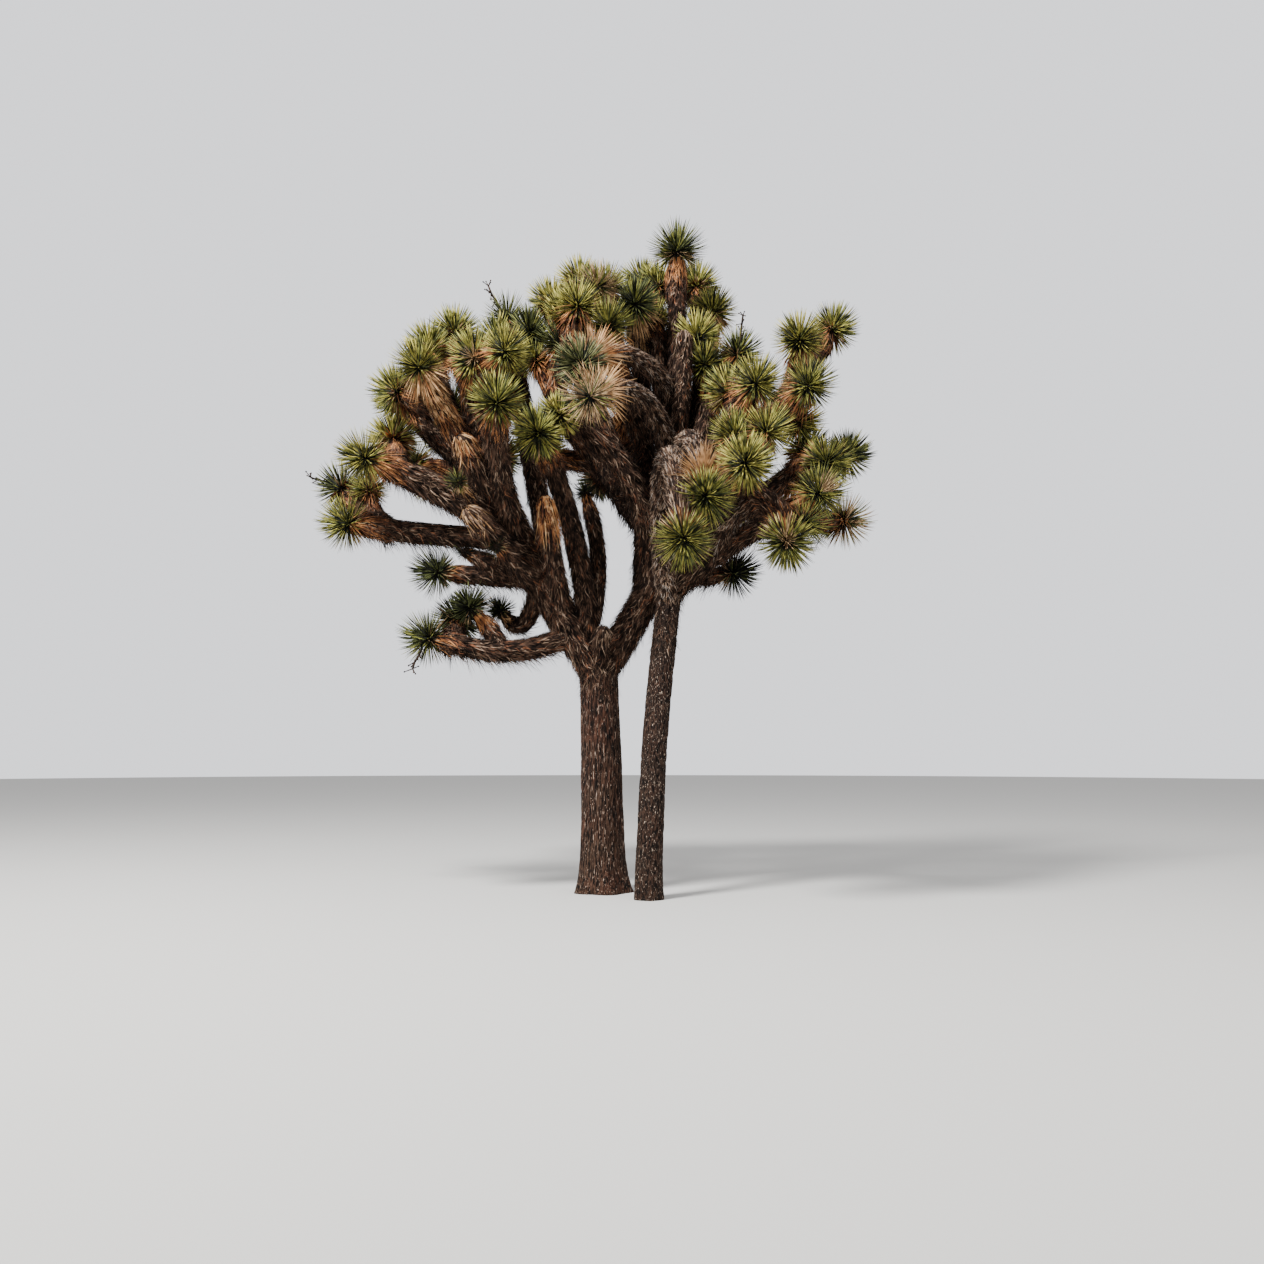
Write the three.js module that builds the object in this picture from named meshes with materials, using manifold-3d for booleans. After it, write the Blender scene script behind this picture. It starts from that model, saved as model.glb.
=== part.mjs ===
// A Joshua tree (Yucca brevifolia) about 7.4 m tall, a clump of two trunks from one root.
// A stout trunk forks into a left and a centre bough, and a slimmer stem beside it carries the right of the
// crown. Every bough is one tapering limb in a coat of dead leaves, and every arm ends in a ball of leaves.
// Millimetres, +Z up. The origin is the middle of the flat cut under the stout trunk, at ground level.
// -Y is the front of the tree, and +X is its right side.
import * as THREE from "three";
import { mergeVertices } from "three/addons/utils/BufferGeometryUtils.js";
import Module from "manifold-3d";

const wasm = await Module();
wasm.setup();

// Driving dimensions.
const CLEARANCE = 0.35; // between a limb and what grows on it
const LEAF_REACH = 312; // from the heart of a rosette to its leaf tips
const HEART = 100; // radius of the closed heart that the leaves stand out of
const NECK = 72; // radius of an arm just under its rosette
const COAT = 122; // radius of an arm in its coat of dead leaves
const NECK_LENGTH = 260; // over which the neck widens to the coat
const FORK_DROP = 450; // from the leading rosette back to the first side arm
const FORK_SPACING = 110; // from one side arm back to the next
const ARM_LIFT = 0.12; // of a side arm's length, by which its tip turns up

const TRUNK_SIDES = 12;
const BOUGH_SIDES = 7;
const ARM_SIDES = 6;
const RING_SPACING = 455; // along a limb or an arm
const DOME_STEP = 48; // degrees, the ring of a rounded limb end
const ROSETTE_RINGS = [98, 48]; // degrees from the way a rosette points, above the ring of its neck
const ROSETTE_TWIST = 0.5; // of a side, from one ring of a rosette to the next
const GOLDEN_ANGLE = 137.5; // degrees between one arm and the next where they fan out evenly

const LENGTH_SPREAD = 0.12; // share by which one leaf differs from another
const LEAF_GAP = 6; // between leaves of neighbouring rosettes, each side of their border
const LIMB_GAP = 25; // between a leaf's tip and a limb that it passes
const LEAF_WIDTH = 60; // half the width of a leaf at its root
const SHORTEST_LEAF = 0.5; // of the reach: a leaf cut shorter than this is left off
const LEAF_STEP = 20; // between the points where a leaf is tested against the limbs

// The root flare of a trunk: it swells by so much at the ground, in lobes, and dies away with height.
const FLARE = { height: 210, lobes: 5, lobe: 0.3 };

const trunks = [
  {
    name: "trunk", foot: [0, 0, 0], mid: [0, 0, 1300], to: [-50, 0, 2330],
    radius: [230, 204], flare: 80, turn: 10,
  },
  {
    name: "second_stem", foot: [480, -640, 0], mid: [500, -600, 1500], to: [710, -190, 3120],
    radius: [134, 128], flare: 18, turn: 40,
  },
];

// Each bough: the limb that it grows on and the share of that limb's length where it leaves it, its tip,
// how far its middle bows away from a straight line, and its radius at the foot and at the tip.
const boughs = [
  { name: "left_bough", on: "trunk", at: 1, to: [-790, -150, 3570], bow: [-270, 0, 0], radius: [205, 190] },
  { name: "centre_bough", on: "trunk", at: 1, to: [520, 50, 3260], bow: [210, 0, -80], radius: [195, 172] },
  {
    name: "left_arm", on: "left_bough", at: 1, to: [-2070, -600, 4380], bow: [0, 0, -60],
    radius: [175, 150],
  },
  {
    name: "left_riser", on: "left_bough", at: 1, to: [-1390, -350, 5140],
    bow: [-70, 0, 0], radius: [180, 140],
  },
  {
    name: "low_arm", on: "left_bough", at: 0.33, to: [-1550, -400, 2610],
    bow: [0, 0, -250], radius: [130, 112],
  },
  {
    name: "inner_riser", on: "left_bough", at: 0.12, to: [-550, -450, 4540],
    bow: [200, 0, 0], radius: [130, 112],
  },
  {
    name: "dead_stub_inner", on: "left_bough", at: 0.42, to: [-580, -700, 4030],
    bow: [-40, -100, 0], radius: [110, 100],
  },
  {
    name: "dead_stub_low", on: "left_bough", at: 0.95, to: [-1340, -750, 3920],
    bow: [0, -40, -60], radius: [135, 105],
  },
  {
    name: "dead_stub_left", on: "left_riser", at: 0.3, to: [-1380, -1150, 4570],
    bow: [0, -60, -60], radius: [130, 110],
  },
  { name: "dead_stub_fork", on: "trunk", at: 0.97, to: [0, -350, 2740], bow: [0, 0, 40], radius: [90, 80] },
  {
    name: "centre_riser", on: "centre_bough", at: 1, to: [-240, -400, 4990],
    bow: [30, 0, 260], radius: [148, 125],
  },
  {
    name: "tall_stem", on: "centre_bough", at: 1, to: [820, 300, 6610], bow: [-60, 40, 0],
    radius: [140, 108],
  },
  {
    name: "rear_riser", on: "centre_bough", at: 0.85, to: [430, 800, 5830],
    bow: [60, 160, 0], radius: [138, 115],
  },
  {
    name: "grey_stub", on: "tall_stem", at: 0.5, to: [890, -100, 6020], bow: [60, -60, 0],
    radius: [105, 92],
  },
  {
    name: "right_bough", on: "second_stem", at: 1, to: [1800, -600, 3890],
    bow: [0, -60, -100], radius: [130, 120],
  },
  {
    name: "right_riser", on: "second_stem", at: 1, to: [1180, 200, 5470],
    bow: [80, 0, -60], radius: [132, 126],
  },
  {
    name: "right_arch", on: "right_bough", at: 0.5, to: [1580, -950, 4030],
    bow: [-60, -40, 140], radius: [105, 100],
  },
  {
    name: "right_arm", on: "right_riser", at: 0.28, to: [2110, 200, 4590],
    bow: [0, 0, -60], radius: [115, 95],
  },
  {
    name: "far_right_limb", on: "right_riser", at: 0.6, to: [2110, 250, 5560],
    bow: [0, 0, -90], radius: [120, 105],
  },
  {
    name: "front_hook", on: "second_stem", at: 0.98, to: [670, -850, 4360],
    bow: [-60, 100, 60], radius: [130, 160],
  },
  {
    name: "back_left", on: "left_bough", at: 0.6, to: [-1500, 1050, 4700],
    bow: [0, 200, -200], radius: [150, 120],
  },
  {
    name: "back_middle", on: "rear_riser", at: 0.35, to: [0, 1350, 4900],
    bow: [0, 120, -120], radius: [150, 120],
  },
  {
    name: "back_right", on: "right_riser", at: 0.12, to: [1500, 1200, 4450],
    bow: [0, 160, -140], radius: [150, 120],
  },
];

// Each mass of foliage: the limb that carries it and the share of that limb's length where its stem leaves,
// the heart of its leading rosette, how far the stem bows, and its side arms. A side arm is given by the
// degrees that it leans away from the stem, the degrees round the stem where it leaves, and its length.
// A ring of arms is how many fan out evenly, how far they lean, where the first leaves and their length.
// A mass with a reach under 1 has small rosettes, and one with a slim under 1 has thin arms.
const masses = [
  { name: "far_left", on: "left_arm", at: 1, to: [-2440, -800, 4500], sides: [[85, 80, 700]] },
  {
    name: "left_low", on: "left_arm", at: 0.2, to: [-2710, -350, 3900], bow: [0, 0, -60],
    sides: [[45, 60, 930]],
  },
  {
    name: "left_shoulder", on: "left_riser", at: 0.35, to: [-1870, -1000, 5400],
    bow: [0, 0, -120], sides: [[65, 135, 630], [55, 85, 950]],
  },
  {
    name: "left_top", on: "left_riser", at: 1, to: [-1320, -850, 5550],
    sides: [[75, 110, 850], [50, 60, 680]],
  },
  { name: "left_inner", on: "left_riser", at: 0.12, to: [-1020, -1400, 4910], bow: [-170, -160, 0] },
  {
    name: "young_shoot", on: "left_riser", at: 0.1, to: [-1480, -800, 4250],
    bow: [0, 0, -40], reach: 0.5, slim: 0.6,
  },
  { name: "level_arm", on: "left_bough", at: 0.8, to: [-1750, -300, 3390], bow: [0, 0, -20], slim: 0.85 },
  {
    name: "low_upturned", on: "low_arm", at: 0.62, to: [-1420, -200, 3020],
    bow: [130, 60, -60], slim: 0.85,
  },
  { name: "low_left", on: "low_arm", at: 1, to: [-1820, -400, 2670], sides: [[90, 70, 510]] },
  {
    name: "curled", on: "left_bough", at: 0.85, to: [-1130, 150, 3020], bow: [100, 160, -640],
    reach: 0.65, slim: 0.8,
  },
  { name: "inner_front", on: "inner_riser", at: 1, to: [-640, -1000, 4720] },
  {
    name: "thin_arm", on: "inner_riser", at: 0.12, to: [-210, 200, 4340],
    bow: [250, 60, 0], reach: 0.55, slim: 0.75,
  },
  {
    name: "upper_left", on: "left_bough", at: 0.5, to: [-1100, 300, 6370],
    bow: [-60, 420, 0], sides: [[90, 290, 690]],
  },
  {
    name: "mid_left", on: "centre_riser", at: 1, to: [-430, -900, 4930], reach: 0.8,
    sides: [[60, 90, 420]],
  },
  {
    name: "crown_left", on: "centre_riser", at: 0.75, to: [-400, -350, 6150],
    bow: [-60, 0, 0], sides: [[40, 100, 920], [40, 70, 1250]],
  },
  {
    name: "crown_middle", on: "rear_riser", at: 0.7, to: [50, -200, 6120],
    bow: [-60, 60, 0], sides: [[55, 85, 910]],
  },
  {
    name: "crown_rear", on: "rear_riser", at: 1, to: [350, 100, 6490],
    sides: [[85, 85, 960], [60, 65, 770]],
  },
  { name: "top_hook", on: "tall_stem", at: 0.66, to: [-190, -1200, 5370], bow: [60, 80, 620] },
  { name: "high_hook", on: "tall_stem", at: 0.46, to: [-90, -1750, 4870], bow: [160, -200, 650] },
  { name: "leader", on: "tall_stem", at: 1, to: [830, 300, 7180] },
  {
    name: "behind_leader", on: "right_riser", at: 0.6, to: [1260, 800, 6650],
    bow: [-60, 160, 0], sides: [[25, 120, 990], [110, 255, 450]],
  },
  { name: "right_top", on: "right_riser", at: 1, to: [1120, 100, 5790], sides: [[50, 35, 560]] },
  {
    name: "right_front", on: "right_riser", at: 0.6, to: [1590, -900, 5260],
    bow: [0, 0, -60], sides: [[80, 115, 310]],
  },
  { name: "far_right_top", on: "far_right_limb", at: 1, to: [2160, -100, 6000], sides: [[50, 60, 790]] },
  {
    name: "far_right_side", on: "far_right_limb", at: 0.65, to: [2200, -400, 5390],
    bow: [0, 0, -60], sides: [[100, 20, 330]],
  },
  {
    name: "right_middle", on: "right_riser", at: 0.4, to: [1420, -1450, 4290],
    bow: [0, 0, 60], sides: [[70, 65, 580], [80, 90, 460]],
  },
  {
    name: "right_arm_end", on: "right_arm", at: 1, to: [2430, -150, 4610],
    sides: [[70, 105, 310], [55, 65, 700]],
  },
  { name: "right_low", on: "right_bough", at: 1, to: [2220, -900, 4110], sides: [[60, 35, 740]] },
  { name: "right_arch_end", on: "right_arch", at: 1, to: [1820, -1400, 3530], sides: [[50, 15, 390]] },
  {
    name: "small_hook", on: "tall_stem", at: 0.15, to: [1020, -1600, 3940],
    bow: [60, 120, 1750], slim: 0.8,
  },
  { name: "front_hook_end", on: "front_hook", at: 1, to: [800, -1750, 3500], bow: [0, 0, 260] },
  { name: "under_right", on: "right_bough", at: 0.25, to: [1400, -100, 3410], bow: [0, 60, 0], slim: 0.8 },
  { name: "back_left_end", on: "back_left", at: 1, to: [-1950, 1450, 5300], ring: [6, 62, 0, 720] },
  { name: "back_middle_end", on: "back_middle", at: 1, to: [-150, 1750, 5400], ring: [6, 62, 40, 720] },
  { name: "back_right_end", on: "back_right", at: 1, to: [1750, 1700, 5050], ring: [6, 62, 80, 720] },
];

const vector = (point) => new THREE.Vector3(...point);
const radians = THREE.MathUtils.degToRad;
const lerp = THREE.MathUtils.lerp;

// Numbers from 0 to 1 that come out the same on every run.
function randomFrom(seed) {
  let state = seed;
  return () => {
    state = (state * 1664525 + 1013904223) % 4294967296;
    return state / 4294967296;
  };
}

// ---- Routes: the middle line of a limb, with its radius along it ----

// A limb's middle line as a smooth curve over three points.
function routeOver(foot, middle, tip) {
  return new THREE.QuadraticBezierCurve3(foot, middle, tip);
}

// A limb that leaves its parent's end carries on the same way. One that leaves its side starts inside it.
function routeFrom(parent, row) {
  const foot = parent.route.getPoint(row.at);
  const tip = vector(row.to);
  const middle = foot.clone().lerp(tip, 0.5);
  if (row.at === 1) {
    const onward = parent.route.getTangent(1).multiplyScalar(foot.distanceTo(tip) * 0.45);
    middle.lerp(foot.clone().add(onward), 0.6);
  }
  if (row.bow) middle.add(vector(row.bow));
  return routeOver(foot, middle, tip);
}

// The swelling of a trunk's foot, in lobes that run out into the roots.
function flareAt(row, height, angle) {
  if (!row.flare) return 0;
  const fade = Math.exp(-height / FLARE.height);
  const lobe = 1 + FLARE.lobe * Math.cos(FLARE.lobes * angle + radians(row.turn));
  return row.flare * fade * lobe;
}

function limbFrom(row, route) {
  const length = route.getLength();
  const radiusAt = (share, angle = 0) =>
    lerp(row.radius[0], row.radius[1], share) + flareAt(row, share * length, angle);
  return { name: row.name, route, length, radiusAt, end: 1 };
}

const limbs = new Map();
for (const row of trunks) {
  const route = routeOver(vector(row.foot), vector(row.mid), vector(row.to));
  limbs.set(row.name, limbFrom(row, route));
}
for (const row of boughs) limbs.set(row.name, limbFrom(row, routeFrom(limbs.get(row.on), row)));

// ---- Masses: a stem, its side arms and the rosette at the end of each ----

// An arm is slim under its rosette and widens to its coat of dead leaves.
function armFrom(route, row) {
  const length = route.getLength();
  const slim = row.slim ?? 1;
  const radiusAt = (share) => lerp(NECK, COAT, Math.min(1, ((1 - share) * length) / NECK_LENGTH)) * slim;
  const size = row.reach ?? 1;
  const rosette = { centre: route.getPoint(1), heading: route.getTangent(1) };
  rosette.reach = LEAF_REACH * size;
  rosette.heart = HEART * size;
  return { route, length, radiusAt, rosette, end: 1 - rosette.heart / length };
}

// The way a side arm leaves the stem: turned from the stem's heading by fan, on the side that roll says.
function sideHeading(heading, fan, roll) {
  const turned = new THREE.Quaternion().setFromUnitVectors(new THREE.Vector3(0, 0, 1), heading);
  const outward = new THREE.Vector3(Math.cos(radians(roll)), Math.sin(radians(roll)), 0);
  outward.applyQuaternion(turned).multiplyScalar(Math.sin(radians(fan)));
  return heading.clone().multiplyScalar(Math.cos(radians(fan))).add(outward);
}

// The side arms of a mass whose arms fan out evenly.
function ringOfArms([count, fan, roll, length]) {
  return Array.from({ length: count }, (_, i) => [fan, roll + i * GOLDEN_ANGLE, length]);
}

function massFrom(row, seed) {
  const stem = armFrom(routeFrom(limbs.get(row.on), row), row);
  const sides = row.ring ? ringOfArms(row.ring) : (row.sides ?? []);
  const sideArms = sides.map(([fan, roll, length], i) => {
    const share = Math.max(0.15, 1 - (FORK_DROP + FORK_SPACING * i) / stem.length);
    const start = stem.route.getPoint(share);
    const heading = sideHeading(stem.route.getTangent(share), fan, roll);
    const middle = start.clone().addScaledVector(heading, length * 0.5);
    const tip = start.clone().addScaledVector(heading, length);
    tip.z += length * ARM_LIFT;
    return armFrom(routeOver(start, middle, tip), row);
  });
  return { name: "foliage_" + row.name, seed, arms: [stem, ...sideArms] };
}

const foliage = masses.map((row, i) => massFrom(row, i + 1));
const rosettes = foliage.flatMap((mass) => mass.arms.map((arm) => arm.rosette));

// Points along every limb and arm, for keeping leaves off them.
const obstacles = [];
function addObstacles(limb, owner) {
  const steps = Math.ceil(limb.length / 60);
  for (let i = 0; i <= steps; i++)
    obstacles.push({ point: limb.route.getPoint(i / steps), radius: limb.radiusAt(i / steps), owner });
}
for (const limb of limbs.values()) addObstacles(limb, null);
for (const mass of foliage) for (const arm of mass.arms) addObstacles(arm, arm.rosette);

// How long a leaf may be before it leaves its rosette's own space or touches a limb. 0 when it is left off.
function leafRoom(rosette, direction, wanted) {
  let room = wanted;
  for (const other of rosettes) {
    if (other === rosette) continue;
    const apart = other.centre.clone().sub(rosette.centre);
    const distance = apart.length();
    const towards = direction.dot(apart) / distance;
    const border = (distance * rosette.reach) / (rosette.reach + other.reach) - LEAF_GAP;
    if (towards > 0) room = Math.min(room, border / towards);
  }
  const near = obstacles.filter(
    (o) => o.owner !== rosette && o.point.distanceTo(rosette.centre) < room + o.radius + LEAF_WIDTH,
  );
  const point = new THREE.Vector3();
  for (let along = rosette.heart; along <= room; along += LEAF_STEP) {
    point.copy(rosette.centre).addScaledVector(direction, along);
    const gap = lerp(LEAF_WIDTH, LIMB_GAP, along / room);
    if (near.some((o) => o.point.distanceTo(point) < o.radius + gap)) room = along - LEAF_STEP;
  }
  return room < SHORTEST_LEAF * rosette.reach ? 0 : room;
}

// ---- Surfaces ----

// Axes that follow a route without twisting, one pair for each ring.
function framesAlong(route, shares) {
  let heading = route.getTangent(shares[0]);
  const upright = new THREE.Vector3(0, 0, 1);
  const across = new THREE.Vector3(1, 0, 0).applyQuaternion(
    new THREE.Quaternion().setFromUnitVectors(upright, heading),
  );
  return shares.map((share) => {
    const next = route.getTangent(share);
    across.applyQuaternion(new THREE.Quaternion().setFromUnitVectors(heading, next)).normalize();
    heading = next;
    return { heading, across: across.clone(), along: new THREE.Vector3().crossVectors(next, across) };
  });
}

function ringPoint(centre, frame, radius, angle) {
  return centre
    .clone()
    .addScaledVector(frame.across, radius * Math.cos(angle))
    .addScaledVector(frame.along, radius * Math.sin(angle));
}

// Joins rings of points into faces, each ring half a side round from the last where twisted says so.
function bandFaces(lower, upper, sides, add, twisted) {
  for (let i = 0; i < sides; i++) {
    const j = (i + 1) % sides;
    if (twisted) {
      add(lower[i], lower[j], upper[i]);
      add(lower[j], upper[j], upper[i]);
    } else {
      add(lower[i], lower[j], upper[j]);
      add(lower[i], upper[j], upper[i]);
    }
  }
}

function capFaces(ring, pole, sides, add) {
  for (let i = 0; i < sides; i++) add(ring[i], ring[(i + 1) % sides], pole);
}

function solidFrom(points, faces) {
  const geometry = new THREE.BufferGeometry().setAttribute(
    "position",
    new THREE.Float32BufferAttribute(points.flatMap((p) => p.toArray()), 3),
  );
  geometry.setIndex(faces.flat());
  const merged = mergeVertices(geometry, 1e-3);
  return new wasm.Manifold(
    new wasm.Mesh({
      numProp: 3,
      vertProperties: merged.attributes.position.array,
      triVerts: new Uint32Array(merged.index.array),
    }),
  );
}

// Rings of points along a limb, the first of them closed by a flat face.
function tubeRings(limb, sides, grow, points) {
  const count = Math.max(2, Math.round((limb.length * limb.end) / RING_SPACING));
  const shares = Array.from({ length: count + 1 }, (_, i) => (i / count) * limb.end);
  const frames = framesAlong(limb.route, shares);
  const rings = shares.map((share, k) => {
    const centre = limb.route.getPoint(share);
    return Array.from({ length: sides }, (_, i) => {
      const angle = (2 * Math.PI * i) / sides;
      points.push(ringPoint(centre, frames[k], limb.radiusAt(share, angle) + grow, angle));
      return points.length - 1;
    });
  });
  return { rings, frame: frames[count] };
}

function closeFoot(ring, points, faces) {
  const middle = new THREE.Vector3();
  for (const i of ring) middle.addScaledVector(points[i], 1 / ring.length);
  points.push(middle);
  const pole = points.length - 1;
  for (let i = 0; i < ring.length; i++) faces.push([ring[(i + 1) % ring.length], ring[i], pole]);
}

// A limb with a rounded end. grow makes it that much thicker all over, for cutting what grows on it.
function limbSolid(limb, sides, grow) {
  const points = [];
  const faces = [];
  const add = (...face) => faces.push(face);
  const { rings, frame } = tubeRings(limb, sides, grow, points);
  for (const i of rings[0]) {
    if (limb.rooted) points[i].z = -grow;
    else points[i].addScaledVector(limb.route.getTangent(0), -grow);
  }
  closeFoot(rings[0], points, faces);
  const end = limb.route.getPoint(limb.end);
  const radius = limb.radiusAt(limb.end) + grow;
  const step = radians(DOME_STEP);
  const shoulder = end.clone().addScaledVector(frame.heading, radius * Math.sin(step));
  rings.push(
    Array.from({ length: sides }, (_, i) => {
      points.push(ringPoint(shoulder, frame, radius * Math.cos(step), (2 * Math.PI * i) / sides));
      return points.length - 1;
    }),
  );
  for (let k = 1; k < rings.length; k++) bandFaces(rings[k - 1], rings[k], sides, add, false);
  points.push(end.clone().addScaledVector(frame.heading, radius));
  capFaces(rings.at(-1), points.length - 1, sides, add);
  return solidFrom(points, faces);
}

// An arm and its rosette in one skin: each face of the heart is drawn out to the tip of one leaf.
function armSolid(arm, random) {
  const points = [];
  const faces = [];
  const add = (...face) => faces.push(face);
  const { centre, heading, reach, heart } = arm.rosette;
  const { rings, frame } = tubeRings(arm, ARM_SIDES, 0, points);
  closeFoot(rings[0], points, faces);
  for (let k = 1; k < rings.length; k++) bandFaces(rings[k - 1], rings[k], ARM_SIDES, add, false);

  const addLeaf = (a, b, c) => {
    const base = points[a].clone().add(points[b]).add(points[c]).divideScalar(3);
    const direction = base.clone().sub(centre).normalize();
    const wanted = reach * (1 - LENGTH_SPREAD * random());
    const room = leafRoom(arm.rosette, direction, wanted);
    if (!room) {
      add(a, b, c);
      return;
    }
    points.push(centre.clone().addScaledVector(direction, room));
    const tip = points.length - 1;
    add(a, b, tip);
    add(b, c, tip);
    add(c, a, tip);
  };
  const headingFrame = { ...frame, heading };
  let lower = rings.at(-1);
  ROSETTE_RINGS.forEach((degrees, k) => {
    const polar = radians(degrees);
    const middle = centre.clone().addScaledVector(heading, heart * Math.cos(polar));
    const upper = Array.from({ length: ARM_SIDES }, (_, i) => {
      const angle = (2 * Math.PI * (i + (k + 1) * ROSETTE_TWIST)) / ARM_SIDES;
      points.push(ringPoint(middle, headingFrame, heart * Math.sin(polar), angle));
      return points.length - 1;
    });
    bandFaces(lower, upper, ARM_SIDES, addLeaf, true);
    lower = upper;
  });
  points.push(centre.clone().addScaledVector(heading, heart));
  capFaces(lower, points.length - 1, ARM_SIDES, addLeaf);
  return solidFrom(points, faces);
}

// ---- Cutting and joining ----

const boxesMeet = (a, b) => {
  const p = a.boundingBox();
  const q = b.boundingBox();
  return [0, 1, 2].every((k) => p.min[k] < q.max[k] && q.min[k] < p.max[k]);
};

// What is left of a solid beside those already there: its largest piece.
function clearOf(solid, others) {
  let left = solid;
  for (const other of others) if (boxesMeet(left, other)) left = left.subtract(other);
  return left.decompose().reduce((a, b) => (a.volume() > b.volume() ? a : b));
}

function meshFrom(name, solid, material) {
  const made = solid.getMesh();
  const geometry = new THREE.BufferGeometry();
  geometry.setAttribute("position", new THREE.Float32BufferAttribute(made.vertProperties, made.numProp));
  geometry.setIndex(new THREE.Uint32BufferAttribute(made.triVerts, 1));
  geometry.computeVertexNormals();
  const mesh = new THREE.Mesh(geometry, material);
  mesh.name = name;
  return mesh;
}

const bark = new THREE.MeshStandardMaterial({ color: 0x4b3c33, roughness: 0.95, metalness: 0 });
const thatch = new THREE.MeshStandardMaterial({ color: 0x5f5046, roughness: 1, metalness: 0 });
const leaf = new THREE.MeshStandardMaterial({ color: 0x7c8440, roughness: 0.6, metalness: 0 });

const tree = new THREE.Group();
tree.name = "joshua_tree";

const cutters = [];
for (const limb of limbs.values()) {
  limb.rooted = trunks.some((row) => row.name === limb.name);
  const sides = limb.rooted ? TRUNK_SIDES : BOUGH_SIDES;
  const solid = clearOf(limbSolid(limb, sides, 0), cutters);
  cutters.push(limbSolid(limb, sides, CLEARANCE));
  tree.add(meshFrom(limb.name, solid, limb.rooted ? bark : thatch));
}

for (const mass of foliage) {
  const random = randomFrom(mass.seed * 977);
  const joined = mass.arms.map((arm) => armSolid(arm, random)).reduce((a, b) => a.add(b));
  tree.add(meshFrom(mass.name, clearOf(joined, cutters), leaf));
  for (const arm of mass.arms) cutters.push(limbSolid(arm, ARM_SIDES, CLEARANCE));
}

export default tree;
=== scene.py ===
# %% [markdown]
# # A Joshua tree, from its trunks to its leaf tips
# A Joshua tree is a giant yucca. Its limbs wear a coat of folded dead leaves, and each ends in one ball
# of stiff live leaves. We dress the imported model, which fixes every size and place. It is in metres with
# Z up, and its front is towards -Y.

import math

import bmesh
import bpy
import numpy as np
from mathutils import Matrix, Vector, noise


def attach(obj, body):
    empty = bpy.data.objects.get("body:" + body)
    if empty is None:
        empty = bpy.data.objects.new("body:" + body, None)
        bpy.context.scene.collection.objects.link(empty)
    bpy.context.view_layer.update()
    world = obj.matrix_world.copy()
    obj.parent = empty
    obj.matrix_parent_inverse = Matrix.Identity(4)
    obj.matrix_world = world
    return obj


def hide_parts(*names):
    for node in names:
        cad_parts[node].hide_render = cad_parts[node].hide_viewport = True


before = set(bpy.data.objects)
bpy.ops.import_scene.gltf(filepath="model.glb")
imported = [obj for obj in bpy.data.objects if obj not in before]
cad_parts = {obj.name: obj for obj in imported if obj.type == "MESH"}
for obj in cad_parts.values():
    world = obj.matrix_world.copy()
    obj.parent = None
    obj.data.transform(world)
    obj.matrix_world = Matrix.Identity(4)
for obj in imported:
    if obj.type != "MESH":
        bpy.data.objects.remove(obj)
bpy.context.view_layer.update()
node_names = sorted(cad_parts)
print("nodes in the packed model:", len(node_names))

# %% [markdown]
# ## The camera
# It stands 13 m in front of the tree, at eye height. It is made first, so that each piece can be judged
# from the same place.

# %% Making the camera
CAMERA_PLACE = (0.313, -13.0, 1.5)
CAMERA_TIP_UP = 5.598
SENSOR_WIDTH = 36.0
LENS = 34.291
FARTHEST_SEEN = 300.0


def add_object(name, data):
    made = bpy.data.objects.new(name, data)
    bpy.context.collection.objects.link(made)
    return made


camera_data = bpy.data.cameras.new("camera")
camera_data.sensor_width = SENSOR_WIDTH
camera_data.lens = LENS
camera_data.clip_end = FARTHEST_SEEN
camera = add_object("camera", camera_data)
camera.location = CAMERA_PLACE
camera.rotation_euler = (math.radians(90 + CAMERA_TIP_UP), 0.0, 0.0)
bpy.context.scene.camera = camera
print("lens in mm:", LENS, "and degrees tipped up:", CAMERA_TIP_UP)

# %% [markdown]
# ## The plan of the tree
# The solids were worked out from this plan. It is written here again in metres, so that bark and leaves
# land exactly on them. A trunk has its foot, middle and tip, its radius at both ends, the swell of its
# root flare and the degrees that the flare is turned. A bough has the limb that it grows on, the share
# of that limb's length where it leaves, its tip, how far its middle bows, and its radius at both ends.

# %% Sizes that the whole tree shares
LEAF_REACH = 0.312
HEART = 0.1
NECK = 0.072
COAT = 0.122
NECK_LENGTH = 0.26
LOWEST_FORK = 0.15
FORK_DROP = 0.45
FORK_SPACING = 0.11
ARM_LIFT = 0.12
YOUNG_SLIM = 0.85
YOUNG_SAG = 0.05
ONWARD_REACH = 0.45
ONWARD_PULL = 0.6
GOLDEN_ANGLE = 137.5
FLARE_HEIGHT = 0.21
FLARE_LOBES = 5
FLARE_LOBE = 0.3
LEAF_GAP = 0.006
LIMB_GAP = 0.012
LEAF_ROOT_GAP = 0.02
TURN = 2 * math.pi
print("reach of a whole ball in metres:", LEAF_REACH)

# %% The trunks and the boughs
TRUNKS = [
    ("trunk", (0, 0, 0), (0, 0, 1.3), (-0.05, 0, 2.33), (0.23, 0.204), 0.08, 10),
    ("second_stem", (0.48, -0.64, 0), (0.5, -0.6, 1.5), (0.71, -0.19, 3.12), (0.134, 0.128), 0.018, 40),
]

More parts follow.
